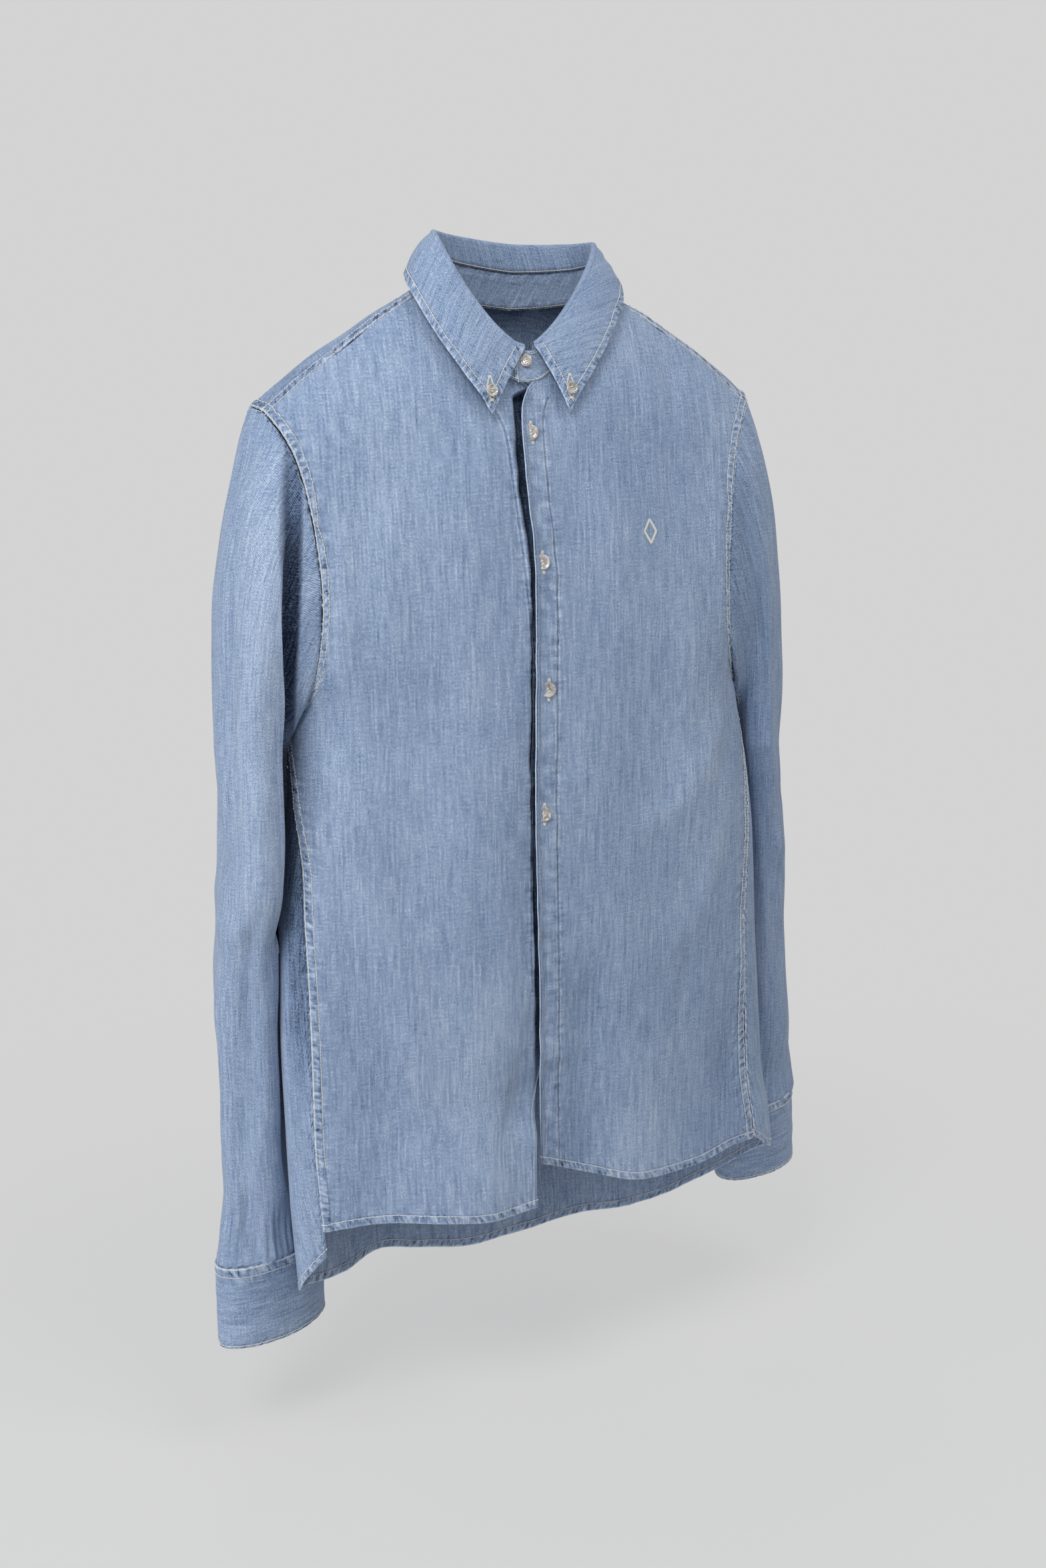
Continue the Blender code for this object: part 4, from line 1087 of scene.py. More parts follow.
# Folds as (path of (across, height) points, how far the ridge or trough stands, its width)
FRONT_FOLDS = {
    -1: (
        (((-0.045, -0.46), (-0.048, -0.58), (-0.042, -0.74)), 0.0036, 0.030),
        (((-0.142, -0.48), (-0.136, -0.58), (-0.130, -0.72)), -0.0032, 0.026),
        (((-0.180, -0.34), (-0.174, -0.46), (-0.166, -0.58)), 0.0022, 0.012),
        (((-0.175, -0.315), (-0.130, -0.37), (-0.070, -0.42)), 0.0026, 0.012),
        (((-0.178, -0.345), (-0.140, -0.42), (-0.090, -0.50)), 0.0020, 0.013),
        (((-0.095, -0.10), (-0.113, -0.20), (-0.108, -0.31)), 0.0016, 0.014),
        (((-0.140, -0.13), (-0.146, -0.20), (-0.150, -0.27)), 0.0018, 0.010),
        (((-0.060, -0.22), (-0.064, -0.34), (-0.070, -0.44)), 0.0014, 0.018),
    ),
    1: (
        (((0.120, -0.19), (0.128, -0.33), (0.121, -0.47)), 0.0034, 0.020),
        (((0.030, -0.46), (0.034, -0.56), (0.030, -0.70)), -0.0036, 0.022),
        (((0.078, -0.54), (0.082, -0.64), (0.080, -0.74)), 0.0034, 0.028),
        (((0.168, -0.30), (0.120, -0.37), (0.060, -0.41)), 0.0022, 0.013),
        (((0.176, -0.34), (0.145, -0.43), (0.100, -0.52)), 0.0022, 0.014),
        (((0.152, -0.14), (0.150, -0.20), (0.154, -0.27)), 0.0018, 0.010),
        (((0.052, -0.12), (0.060, -0.24), (0.056, -0.38)), 0.0016, 0.018),
        (((0.160, -0.50), (0.168, -0.58), (0.165, -0.70)), -0.0028, 0.018),
    ),
}

front_levels = np.concatenate([np.linspace(0, 1, 74), np.linspace(1, 2, 47)[1:], np.linspace(2, 3, 20)[1:]])
fronts = {}
for side, name in SIDES.items():
    shares = crowded(110, (0.0, 0.012, 6.0), (0.0, 0.12, 2.0), (0.11, 0.05, 2.8), (1.0, 0.06, 2.6))
    rows = crowded(450, (0.0, 0.02, 1.6), (1.0, 0.02, 1.6))
    grid = grid_of(partial(front_point, side), front_levels, shares, rows)
    levels = np.interp(rows, np.linspace(0, 1, len(front_levels)), front_levels)
    near_joins = bell(levels - 1, 0.11) + bell(levels - 2, 0.22)
    grid = eased(grid, near_joins)
    closing_edge, side_edge = "first_column", "last_column"
    if side < 0:
        closing_edge, side_edge = side_edge, closing_edge
        grid = grid[:, ::-1]
    bands = {
        "first_row": (0.0065, 0.0009, 0.00034),
        side_edge: (0.0068, 0.0009, 0.00042),
        closing_edge: (0.0026, 0.0006, 0.00010),
    }
    relief, thick, run, share = sewn_edges(grid, seed=31 + side, **bands)
    across, height = grid[..., 0], grid[..., 2]
    gaps = edge_distances(grid)
    from_edge = gaps[closing_edge]
    if side > 0:
        row_at = np.full(len(height), PLACKET)
    else:
        row_at = np.array([read(UNDER_ROW, "gap", z) for z in height[:, -1]])
    row_gap = from_edge - row_at[:, None]
    below_neck = fades(levels, 1.97, 2.02)[:, None]
    sewn_down = below_neck * (ease(height, -0.54, -0.48) if side < 0 else 1.0)
    relief += 0.0006 * fades(row_gap, -0.0012, 0.0002) * sewn_down
    near_row = bell(row_gap, 0.0055) * sewn_down
    relief += 0.00034 * near_row * unevenness(height, from_edge, (0.0062, 0.030), 35 + side)
    relief -= 0.00030 * bell(row_gap, 0.0008) * sewn_down
    body = ease(from_edge, 0.01, 0.05)
    relief += 0.0012 * body * unevenness(across, height, (0.11, 0.34), 36 + side)
    relief += 0.0006 * body * unevenness(across, height, (0.045, 0.12), 38 + side)
    relief += 0.0005 * (1 - body) * unevenness(across, height, (0.05, 0.035), 41 + side)
    if side > 0:
        relief += 0.0016 * fades(from_edge, 0.0, 0.009) * below_neck
        # The band is rubbed unevenly over the turned edge inside it
        band = ease(from_edge, 0.002, 0.005) * fades(from_edge, PLACKET + 0.001, PLACKET + 0.004)
        worn = 0.30 * band * unevenness(from_edge, height, (0.014, 0.011), 36)
    else:
        over_it = np.array([read(CLOSING, "left_edge", z) for z in height[:, -1]])[:, None]
        # It falls away beside the other front's edge, stays low under it and comes up again at its own edge
        wide = 0.0030 + 0.0032 * ease(height, -0.25, -0.11)
        wide *= 1 + 0.25 * unevenness(height, across, (0.030, 0.030), 38)
        beside = across - over_it
        near_edge = np.clip((beside + wide) / wide, 0, 1)
        hollow = fades(beside, 0.008, 0.016) * ease(height, -0.61, -0.54)
        hollow *= fades(levels, 1.995, 2.04)[:, None]
        relief -= 1.3 * wide * near_edge**2 * hollow
        # Painted shade: the hollow's colour is darkened, nearly to black at the other front's edge
        worn = -1.9 * hollow * near_edge**1.9
    folded = sum(crease(across, height, path, size, width) for path, size, width in FRONT_FOLDS[side])
    relief += folded * ease(from_edge, 0.004, 0.035)
    row_gap = np.where(sewn_down < 0.5, 1.0, row_gap)
    # A pale worn edge, a dark furrow and a second pale line beside it
    edge_lines = 1.1 * bell(from_edge, 0.0006)
    edge_lines -= 1.2 * bell(from_edge - 0.0013, 0.0004)
    edge_lines += 0.7 * bell(from_edge - 0.0021, 0.0005)
    run = np.where(from_edge < 0.004, 0.0, run)
    # The colour follows the folds, lighter on their ridges and darker in their troughs: partly rubbed wear,
    # partly painted light and shade
    made = cloth_piece(
        f"front_panel_{name}",
        grid,
        relief,
        thick,
        chambray(f"chambray {name} front", 7.3 + side),
        (laid_flat(grid, 0 if side > 0 else -1), height),
        (run, share),
        row_gap=row_gap,
        worn=70 * folded + edge_lines + worn,
    )
    made["grid"] = grid
    fronts[side] = made
    rows = [along_edge(made, "first_row", HEM_ROW, inside=inside) for inside in (False, True)]
    rows += [along_edge(made, side_edge, gap, SIDE_ROWS_START[side]) for gap in SIDE_ROWS]
    to_neck = float(np.searchsorted(levels, 1.98) / len(levels))
    start, edge_gap, edge_start = (UNDER_ROW_START, 0.0020, 0.0) if side < 0 else (0.01, 0.0030, 0.01)
    dark_rows = [
        along_edge(made, closing_edge, row_at, start, to_neck),
        along_edge(made, closing_edge, edge_gap, edge_start, to_neck),
    ]
    stitches = topstitched(f"front_stitches_{name}", rows, 3 + side)
    edge_stitches = topstitched(f"front_edge_stitches_{name}", dark_rows, 5 + side, blue_thread)
    finished(made, f"front_{name}", [stitches, edge_stitches])

# Collar
# A two-piece shirt collar. The stand is a stiffened double band that buttons at the neck, and the leaf
# folds over it from a soft roll to two long points, stitched 6.5 mm inside its edges.

STAND_LEAN = 0.0050  # how far the top of the stand leans in
ROLL = 0.0025  # radius of the leaf's fold
STAND_ENDS = (11, -368)  # degrees round the neck, from the under end to the top end
STAND_LAP = 13  # degrees over which the ends part
LEAF_ENDS = (5.5, 0.5)  # degrees from the closing at which the leaf's left and right ends start
LEAF_ROW = 0.0066  # from the leaf's edges to its row of stitching
LEAF_INSIDE = 0.0018  # how far inside the stand the leaf is sewn
LEAF_RISE = 0.14  # share of the leaf, from the stand, that rises inside the neck
LEAF_FOLD = 0.30  # share at which its fold ends
LEAF_SUNK = 0.0022  # how far its sewn edge is below the stand's top
LEAF_BELLY = 0.0022, 0.0016  # how far its fall curves up and out
STAND_LAPS = 0.0014  # how far the stand laps down over the neck edge

# The leaf's outer edge, from its front corner (0) to the middle of the back (180)
LEAF_EDGE = table(
    "turn across depth height",
    (0, 0.0300, -0.0705, -0.0950),
    (12, 0.0380, -0.0690, -0.0820),
    (28, 0.0510, -0.0630, -0.0650),
    (45, 0.0675, -0.0500, -0.0410),
    (62, 0.0820, -0.0300, -0.0150),
    (80, 0.0870, -0.0060, -0.0010),
    (100, 0.0830, 0.0200, 0.0040),
    (125, 0.0680, 0.0420, 0.0030),
    (150, 0.0420, 0.0570, 0.0010),
    (180, 0.0000, 0.0630, 0.0000),
)


def stand_point(turn, up_share):
    """A point of the stand, which runs from its under end round the right side and back to its top end."""
    start, end = STAND_ENDS
    inner_end = fades(-turn, -start, -start + 2 * STAND_LAP)
    outer_end = ease(-turn, -end - 2 * STAND_LAP, -end)
    outward = (ONE_WALL + LAP_GAP) / 2 * float(outer_end - inner_end)
    low = neck_point(turn, "seam_height", outward)
    high = neck_point(turn, "stand_height", outward - STAND_LEAN)
    low.z -= STAND_LAPS
    return low.lerp(high, up_share)


def leaf_point(side, turn, down):
    """A point of the leaf. Turn is 0 to 180 from the front end, and down is 0 to 1 from the stand."""
    start = LEAF_ENDS[0] if side > 0 else LEAF_ENDS[1]
    round_neck = side * mix(start, 180, turn / 180)
    foot = neck_point(round_neck, "stand_height", -STAND_LEAN - LEAF_INSIDE)
    roll_foot = neck_point(round_neck, "roll_height", -STAND_LEAN - LEAF_INSIDE)
    out = neck_point(round_neck, "roll_height", 0.01) - neck_point(round_neck, "roll_height", 0)
    out.normalize()
    foot.z -= LEAF_SUNK
    roll_foot.z = max(foot.z + 0.0012, roll_foot.z - ROLL)
    angle = math.pi * min(1, max(0, (down - LEAF_RISE) / (LEAF_FOLD - LEAF_RISE)))
    if down <= LEAF_RISE:
        return foot.lerp(roll_foot, down / LEAF_RISE)
    rolled = roll_foot + out * ROLL * (1 - math.cos(angle)) + Vector((0, 0, ROLL * math.sin(angle)))
    if down <= LEAF_FOLD:
        return rolled
    share = (down - LEAF_FOLD) / (1 - LEAF_FOLD)
    across, depth, height = (read(LEAF_EDGE, name, turn) for name in ("across", "depth", "height"))
    edge = Vector((neck_middle(math.radians(turn)) + side * across, depth, height))
    return crowned(rolled, edge, share, Vector((0, 0, LEAF_BELLY[0])) + out * LEAF_BELLY[1])


turns = mix(STAND_ENDS[0], STAND_ENDS[1], crowded(300, (0.0, 0.05, 1.8), (1.0, 0.05, 1.8)))
stand_grid = grid_of(stand_point, np.linspace(1, 0, 9), turns, np.linspace(0, 1, 28))
relief, thick, run, share = sewn_edges(
    stand_grid,
    seed=51,
    first_row=(0.0030, 0.0, 0.00018),
    last_row=(0.0024, 0.0010, 0.00022),
    first_column=(0.0030, 0.0, 0.00012),
    last_column=(0.0030, 0.0, 0.00012),
)
relief += 0.0003 * unevenness(run, stand_grid[..., 2], (0.02, 0.02), 52)
stand = cloth_piece(
    "collar_band",
    stand_grid,
    relief,
    0.0008 + 0.0005 * ease(share, 0, 1),
    chambray("chambray stand", 12.9, 0.02),
    (-lengths_along(stand_grid, 1), stand_grid[..., 2]),
    (run, share),
)
stand_rows = [
    along_edge(stand, "last_row", 0.0016),
    along_edge(stand, "last_row", 0.0016, inside=True),
    along_edge(stand, "first_row", 0.0022),
    along_edge(stand, "last_column", 0.0022),
]
stand_stitches = topstitched("collar_band_stitches", stand_rows, 8, Pitch=0.0021, Stitch_length=0.0016)
finished(stand, "collar_stand", [stand_stitches])

leaf_turns = 180 * crowded(168, (0.0, 0.10, 2.6))
falling = mix(LEAF_FOLD, 1, crowded(54, (1.0, 0.12, 1.8)))[1:]
rising = np.linspace(0, LEAF_RISE, 5)
folding = np.linspace(LEAF_RISE, LEAF_FOLD, 12)[1:]
downs = np.concatenate([rising, folding, falling])
steps = np.linspace(0, 1, len(downs))
half_leaf = [grid_of(partial(leaf_point, side), downs, leaf_turns, steps) for side in (-1, 1)]
leaf_grid = np.concatenate([half_leaf[0], half_leaf[1][:, -2::-1]], axis=1)
relief, thick, run, share = sewn_edges(
    leaf_grid,
    seed=61,
    last_row=(0.0066, 0.0003, 0.00030),
    first_column=(0.0066, 0.0003, 0.00026),
    last_column=(0.0066, 0.0003, 0.00026),
)
below_roll = ease(downs, LEAF_FOLD - 0.04, LEAF_FOLD + 0.2)[:, None]
along = lengths_along(leaf_grid, 1)
relief += below_roll * 0.0006 * unevenness(along, leaf_grid[..., 2], (0.045, 0.035), 62)
leaf = cloth_piece(
    "collar_fold",
    leaf_grid,
    relief * (0.25 + 0.75 * below_roll),
    0.0007 + 0.0004 * ease(share, 0, 0.5),
    chambray("chambray leaf", 15.2, -0.04),
    (along, -lengths_along(leaf_grid, 0)),
    (run, np.where(below_roll > 0.05, share, 3.0)),
)
leaf_rows = [
    along_edge(leaf, "last_row", LEAF_ROW, 0.012, 0.988),
    along_edge(leaf, "first_column", LEAF_ROW, 0.27, 0.93),
    along_edge(leaf, "last_column", LEAF_ROW, 0.27, 0.93),
    along_edge(leaf, "first_row", 0.0012, 0.02, 0.98),
]
CLOSE_STITCHES = {"Pitch": 0.0022, "Stitch_length": 0.0017}
leaf_stitches = topstitched("collar_fold_stitches", leaf_rows, 9, **CLOSE_STITCHES)
finished(leaf, "collar_leaf", [leaf_stitches])

# Sleeves
# Each is one long panel, sewn along the underarm and set into the armhole under the body's turned edge.
# Hanging down, the right one folds over itself in front of the armpit, and each breaks softly at the elbow
# and the cuff.

SLEEVE_RIGHT = table(
    "height across depth half_across half_depth",
    (-0.710, 0.2060, 0.043, 0.036, 0.032),
    (-0.668, 0.2080, 0.046, 0.033, 0.040),
    (-0.600, 0.2110, 0.044, 0.030, 0.043),
    (-0.510, 0.2114, 0.033, 0.0294, 0.046),
    (-0.430, 0.2108, 0.018, 0.0268, 0.050),
    (-0.350, 0.2088, 0.011, 0.0258, 0.051),
)
SLEEVE_LEFT = table(
    "height across depth half_across half_depth",
    (-0.671, 0.2380, 0.062, 0.036, 0.032),
    (-0.630, 0.2390, 0.068, 0.034, 0.040),
    (-0.580, 0.2390, 0.068, 0.030, 0.043),
    (-0.510, 0.2318, 0.060, 0.026, 0.047),
    (-0.430, 0.2232, 0.044, 0.0262, 0.049),
    (-0.350, 0.2120, 0.026, 0.0240, 0.050),
)
SLEEVES = {-1: SLEEVE_RIGHT, 1: SLEEVE_LEFT}
SLEEVE_CLEAR = 0.0012  # from the body
ARM_RADIUS = 0.043  # of the sleeve when it is round, for lengths round the arm
UNDERARM_ROW = 0.0031  # from the underarm seam to the stitching on each side
CUFF_LONG = 0.0455  # half widths of the cuff, which is flattened and turned
CUFF_SHORT = 0.027
CUFF_TURNED = math.radians(25)
CUFF_BLEND = 0.07  # height over which the sleeve takes on the cuff's shape

# Where each part of the sleeve meets the armhole: both in degrees from the outer side toward the front
SET_IN = table(
    "round_arm armhole",
    (-15, -10),
    (0, 0),
    (19, 13),
    (36, 25),
    (53, 45),
    (70, 63),
    (87, 75),
    (122, 88),
    (139, 111),
    (173, 157),
    (190, 180),
    (224, 225),
    (259, 270),
    (293, 315),
    (327, 338),
    (345, 350),
    (360, 360),
    (379, 373),
)


def cuff_oval(direction, outward):
    """The offset from the cuff's centre to its outline, in degrees from the wearer's left to the back."""
    turn = math.radians(direction) - CUFF_TURNED
    around = math.atan2(CUFF_LONG * math.sin(turn), CUFF_SHORT * math.cos(turn))
    long_side = (CUFF_LONG + outward) * math.cos(around)
    short_side = (CUFF_SHORT + outward) * math.sin(around)
    c, s = math.cos(CUFF_TURNED), math.sin(CUFF_TURNED)
    return Vector((long_side * c - short_side * s, long_side * s + short_side * c, 0))


def clear_of_body(side, point, share=1.0):
    """The point, pushed out sideways where the body is in its way. Share 0 is on the armhole, and stays."""
    level = min(point.z, ARMPIT)
    depth = read(CLOSING, "depth", level) if point.y < 0 else read(CENTRE_BACK, "depth", level)
    inside = max(0.0, 1 - (abs(point.y) / depth) ** (2 / SQUARENESS))
    half_width = read(BODY, SIDES[side], level) - 0.35 * max(0, point.z - ARMPIT)
    half_width = half_width * inside ** (SQUARENESS / 2) + SLEEVE_CLEAR
    if abs(point.x) < half_width:
        pushed = side * mix(half_width, abs(point.x), 0.08)
        point.x = mix(point.x, pushed, float(ease(share, 0, 0.25)))
    return point


def sleeve_ring(side, height, turn):
    """A point round a sleeve below the armpit. Turn 0 is its outer side, 90 its front and 180 its inner."""
    rows = SLEEVES[side]
    across, depth, half_across, half_depth = (read(rows, name, height) for name in list(rows)[1:])
    angle = math.radians(turn)
    offset = Vector((side * half_across * math.cos(angle), -half_depth * math.sin(angle), 0))
    direction = math.degrees(math.atan2(offset.y, offset.x))
    near_cuff = fades(height, rows["height"][0], rows["height"][0] + CUFF_BLEND)
    offset = offset.lerp(cuff_oval(direction, 0), float(near_cuff))
    return clear_of_body(side, Vector((side * across, depth, height)) + offset)


def sleeve_point(side, turn, level):
    """A point of a sleeve. Level 0 is the armhole, 1 the first ring below it and 2 the cuff seam."""
    rows = SLEEVES[side]["height"]
    if level >= 1:
        return sleeve_ring(side, mix(rows[-1], rows[0], level - 1), turn)
    at_armhole = read(SET_IN, "armhole", turn)
    start = armhole(side, at_armhole % 360)
    end = sleeve_ring(side, rows[-1], turn)
    share = max(level, 0.003)
    length = (end - start).length
    out = 0.50 - 0.12 * math.cos(math.radians(2 * at_armhole))
    leave = Vector((side * out, 0, -math.sqrt(1 - out * out))) * length
    arrive = Vector((0, 0, -1)) * length
    square, cube = share * share, share**3
    point = start * (2 * cube - 3 * square + 1) + end * (3 * square - 2 * cube)
    point += leave * (cube - 2 * square + share) + arrive * (cube - square)
    return clear_of_body(side, point, share)


# Folds as paths of (degrees round the arm from its outer side toward the front, height), in metres of arc
SLEEVE_FOLDS = {
    -1: (
        (((60, -0.14), (52, -0.24), (56, -0.36), (62, -0.46)), -0.0030, 0.013),
        (((25, -0.12), (20, -0.25), (28, -0.40)), 0.0026, 0.016),
        (((-15, -0.34), (15, -0.39), (50, -0.41)), -0.0034, 0.011),
        (((5, -0.43), (40, -0.45), (75, -0.44)), 0.0030, 0.012),
        (((80, -0.40), (72, -0.50), (80, -0.62)), -0.0040, 0.013),
        (((35, -0.44), (30, -0.56), (38, -0.68)), 0.0036, 0.013),
        (((60, -0.56), (55, -0.63), (60, -0.73)), -0.0034, 0.009),
        (((5, -0.52), (0, -0.62), (8, -0.73)), -0.0034, 0.012),
        (((-50, -0.16), (-60, -0.28), (-52, -0.42)), -0.0032, 0.016),
        (((-80, -0.36), (-45, -0.42), (-10, -0.43)), 0.0030, 0.012),
        (((-100, -0.40), (-110, -0.52), (-100, -0.64)), -0.0036, 0.014),
    ),
    1: (
        (((70, -0.13), (60, -0.24), (62, -0.36), (66, -0.46)), -0.0034, 0.012),
        (((30, -0.12), (24, -0.25), (30, -0.40)), 0.0028, 0.016),
        (((-10, -0.33), (20, -0.38), (60, -0.40)), -0.0036, 0.011),
        (((10, -0.41), (45, -0.44), (85, -0.43)), 0.0030, 0.012),
        (((88, -0.40), (80, -0.48), (86, -0.60)), -0.0036, 0.012),
        (((40, -0.42), (36, -0.54), (44, -0.66)), 0.0032, 0.013),
        (((-50, -0.16), (-60, -0.28), (-52, -0.42)), -0.0032, 0.016),
        (((-80, -0.34), (-45, -0.40), (-10, -0.41)), 0.0030, 0.012),
        (((-100, -0.40), (-110, -0.52), (-100, -0.62)), -0.0036, 0.014),
    ),
}

# The deep fold in front of the right armpit, where the sleeve stands in front of the cloth by the armhole
ARMPIT_FOLD = table(
    "height across",
    (-0.450, 0.1965),
    (-0.370, 0.1942),
    (-0.310, 0.1928),
    (-0.255, 0.1905),
    (-0.200, 0.1862),
    (-0.150, 0.1825),
    (-0.120, 0.1790),
    (-0.080, 0.1780),
)


for side, name in SIDES.items():
    # The columns go once round the arm, closer together where the deep fold is and at the underarm seam
    turns = 360 * crowded(149, (0.29, 0.075, 3.2), (0.5, 0.03, 1.8))[:-1]
    rows = crowded(322, (0.0, 0.05, 2.0), (1.0, 0.03, 1.8))
    levels = np.concatenate([np.linspace(0, 1, 40), np.linspace(1, 2, 56)[1:]])
    grid = grid_of(partial(sleeve_point, side), levels, turns, rows)
    if side < 0:
        grid = grid[:, ::-1]
        turns = turns[::-1]
    across, height = grid[..., 0], grid[..., 2]
    around = np.where(turns > 180, turns - 360, turns)[None, :] + 0 * height
    arc = np.radians(around) * ARM_RADIUS
    along = lengths_along(grid, 0)
    to_cuff = along[-1:] - along
    level_of = np.interp(rows, np.linspace(0, 1, len(levels)), levels)[:, None]
    bands = {"first_row": (0.0022, 0.0, 0.00034), "last_row": (0.0022, 0.0, 0.00030)}
    relief, thick, run, share = sewn_edges(grid, seed=71 + side, **bands)
    relief += 0.0011 * ease(along, 0.004, 0.04) * unevenness(arc, height, (0.055, 0.20), 72 + side)
    relief += 0.0006 * unevenness(arc, height, (0.03, 0.07), 74 + side)
    gathers = fades(to_cuff, 0.002, 0.055) * ease(to_cuff, 0.0, 0.008)
    relief += 0.0010 * gathers * unevenness(arc, height, (0.011, 0.15), 76 + side)
    relief += 0.0009 * fades(to_cuff, 0.002, 0.020)
    outer = 1 - 0.8 * bell(around - 43 * side, 32)
    for path, size, width in SLEEVE_FOLDS[side]:
        path = [(math.radians(turn) * ARM_RADIUS, z) for turn, z in path]
        relief += outer * crease(arc, height, path, size, width) * ease(to_cuff, 0.0, 0.012)
    in_front = (side < 0) & (around > 40) & (around < 175) & (level_of < 1.4)
    outward = side * across - np.interp(height, ARMPIT_FOLD["height"], ARMPIT_FOLD["across"])
    lasts = ease(height, -0.47, -0.42) * fades(height, -0.19, -0.09) * in_front
    lip = ease(outward, -0.0005, 0.0045) * fades(outward, 0.010, 0.040)
    slot = ease(outward, -0.0120, -0.0085) * fades(outward, 0.0, 0.003)
    relief += lasts * (0.0105 * lip - 0.0130 * slot)
    under = ease(around, 60, 95) * fades(around, 130, 165) * (side < 0)
    relief -= 0.0032 * under * ease(height, -0.50, -0.42) * fades(height, -0.33, -0.27)
    # The left sleeve lies back a little beside the front, and its colour is darkened there as painted shade
    # from the body
    behind = ease(around, 62, 100) * (side > 0)
    behind *= ease(height, -0.52, -0.42) * fades(height, -0.18, -0.09)
    relief -= 0.0030 * behind * ease(along, 0.004, 0.03)
    seam = np.abs(np.abs(around) - 180) * math.radians(1) * ARM_RADIUS
    relief += 0.0007 * fades(seam, 0.003, 0.0045)
    relief += 0.0003 * fades(seam, 0.004, 0.012) * unevenness(height, seam, (0.006, 0.03), 78)
    made = cloth_piece(
        f"sleeve_panel_{name}",
        grid,
        relief,
        thick,
        chambray(f"chambray {name} sleeve", 18.7 + side),
        (-arc * side, height),
        (run, share),
        # Painted light and shade: the lip of the fold in front of the right armpit is lighter, and the slot
        # beside it is darkened nearly to black
        worn=lasts * (0.3 * lip - 1.6 * slot) - 0.45 * behind,
        tube=math.tau * ARM_RADIUS,
    )
    inner = int(np.argmin(np.abs(np.abs(around[0]) - 180)))
    underarm = []
    for step in (-1, 1):
        column = made["points"][:, inner], made["facing"][:, inner]
        sideways = made["points"][:, (inner + step) % len(turns)] - column[0]
        sideways /= np.linalg.norm(sideways, axis=1, keepdims=True)
        underarm.append((column[0] + sideways * UNDERARM_ROW + column[1] * 0.0002, column[1]))
    stitches = topstitched(f"sleeve_stitches_{name}", underarm, 12 + side)
    finished(made, f"sleeve_{name}", [stitches])

# Sleeve plackets
# A straight strip of the same cloth over the slit at the back of each sleeve, above the cuff. It is edge
# stitched all round, with a box at its top.

PLACKET_LENGTH = 0.120
STRIP_TURN = 290  # degrees round the sleeve, from its outer side toward the front
STRIP_TURNS = 32
STRIP_BOX = 0.028  # from its top to the row that closes the box


def strip_point(side, share, level):
    """A point of a placket strip. Level 0 is its top and 1 the cuff seam."""
    rows = SLEEVES[side]
    height = rows["height"][0] + 0.002 + PLACKET_LENGTH * (1 - level)
    turn = STRIP_TURN + (share - 0.5) * STRIP_TURNS
    here, beside = sleeve_ring(side, height, turn), sleeve_ring(side, height, turn + 2)
    outward = Vector((here.y - beside.y, beside.x - here.x, 0)).normalized()
    centre = Vector((side * read(rows, "across", height), read(rows, "depth", height), height))
    if outward.dot(here - centre) < 0:
        outward = -outward
    return here + outward * (ONE_WALL + 2 * LAP_GAP)


for side, name in SIDES.items():
    levels, shares, rows = (np.linspace(0, 1, count) for count in (20, 26, 90))
    grid = grid_of(partial(strip_point, side), levels, shares, rows)
    if side < 0:
        grid = grid[:, ::-1]
    edges = ("first_column", "last_column", "first_row", "last_row")
    bands = dict.fromkeys(edges, (0.0024, 0.0004, 0.0002))
    relief, thick, run, share = sewn_edges(grid, seed=81 + side, **bands)
    made = cloth_piece(
        f"sleeve_strip_{name}",
        grid,
        relief - 0.0006,
        thick,
        chambray(f"chambray {name} strip", 22.0 + side, 0.02),
        (-lengths_along(grid, 1), grid[..., 2]),
        (run, share),
    )
    rows = [along_edge(made, edge, 0.0018) for edge in edges[:3]]
    rows.append(along_edge(made, "first_row", STRIP_BOX))
    stitches = topstitched(f"sleeve_strip_stitches_{name}", rows, 14 + side, **CLOSE_STITCHES)
    finished(made, f"sleeve_placket_{name}", [stitches])

# Cuffs
# Stiffened double bands cut with the warp running round the wrist. Two rows of stitching hold each to its
# sleeve, and one runs close to its lower edge. The ends lap at the outer back under one button.

CUFF_HEIGHT = 0.061
CUFF_ROWS = (0.0010, 0.0074)  # from its upper edge to its rows of stitching
CUFF_EASE = 0.0012  # round the sleeve
CUFF_WALL = 0.0022
CUFF_OPENING = {-1: 112, 1: 66}  # degrees round each arm, from the wearer's left toward the back
CUFF_LAP = 42  # degrees over which a cuff's ends lap
CUFF_LAPS = 0.0016  # how far a cuff laps up over its sleeve


def cuff_point(side, share, below):
    """A point of a cuff. It laps over itself at the outer back, so its end lies outside its start."""
    step = -side
    opening = CUFF_OPENING[side] - step * CUFF_LAP / 2
    direction = opening + step * share * (360 + CUFF_LAP)
    lap_share = CUFF_LAP / (360 + CUFF_LAP)
    lapped = ease(share, 1 - 1.9 * lap_share, 1 - 1.0 * lap_share)
    outward = CUFF_EASE + (CUFF_WALL + LAP_GAP) * float(lapped)
    rows = SLEEVES[side]
    centre = Vector((side * rows["across"][0], rows["depth"][0], rows["height"][0]))
    return centre + cuff_oval(direction, outward) + Vector((0, 0, -below))


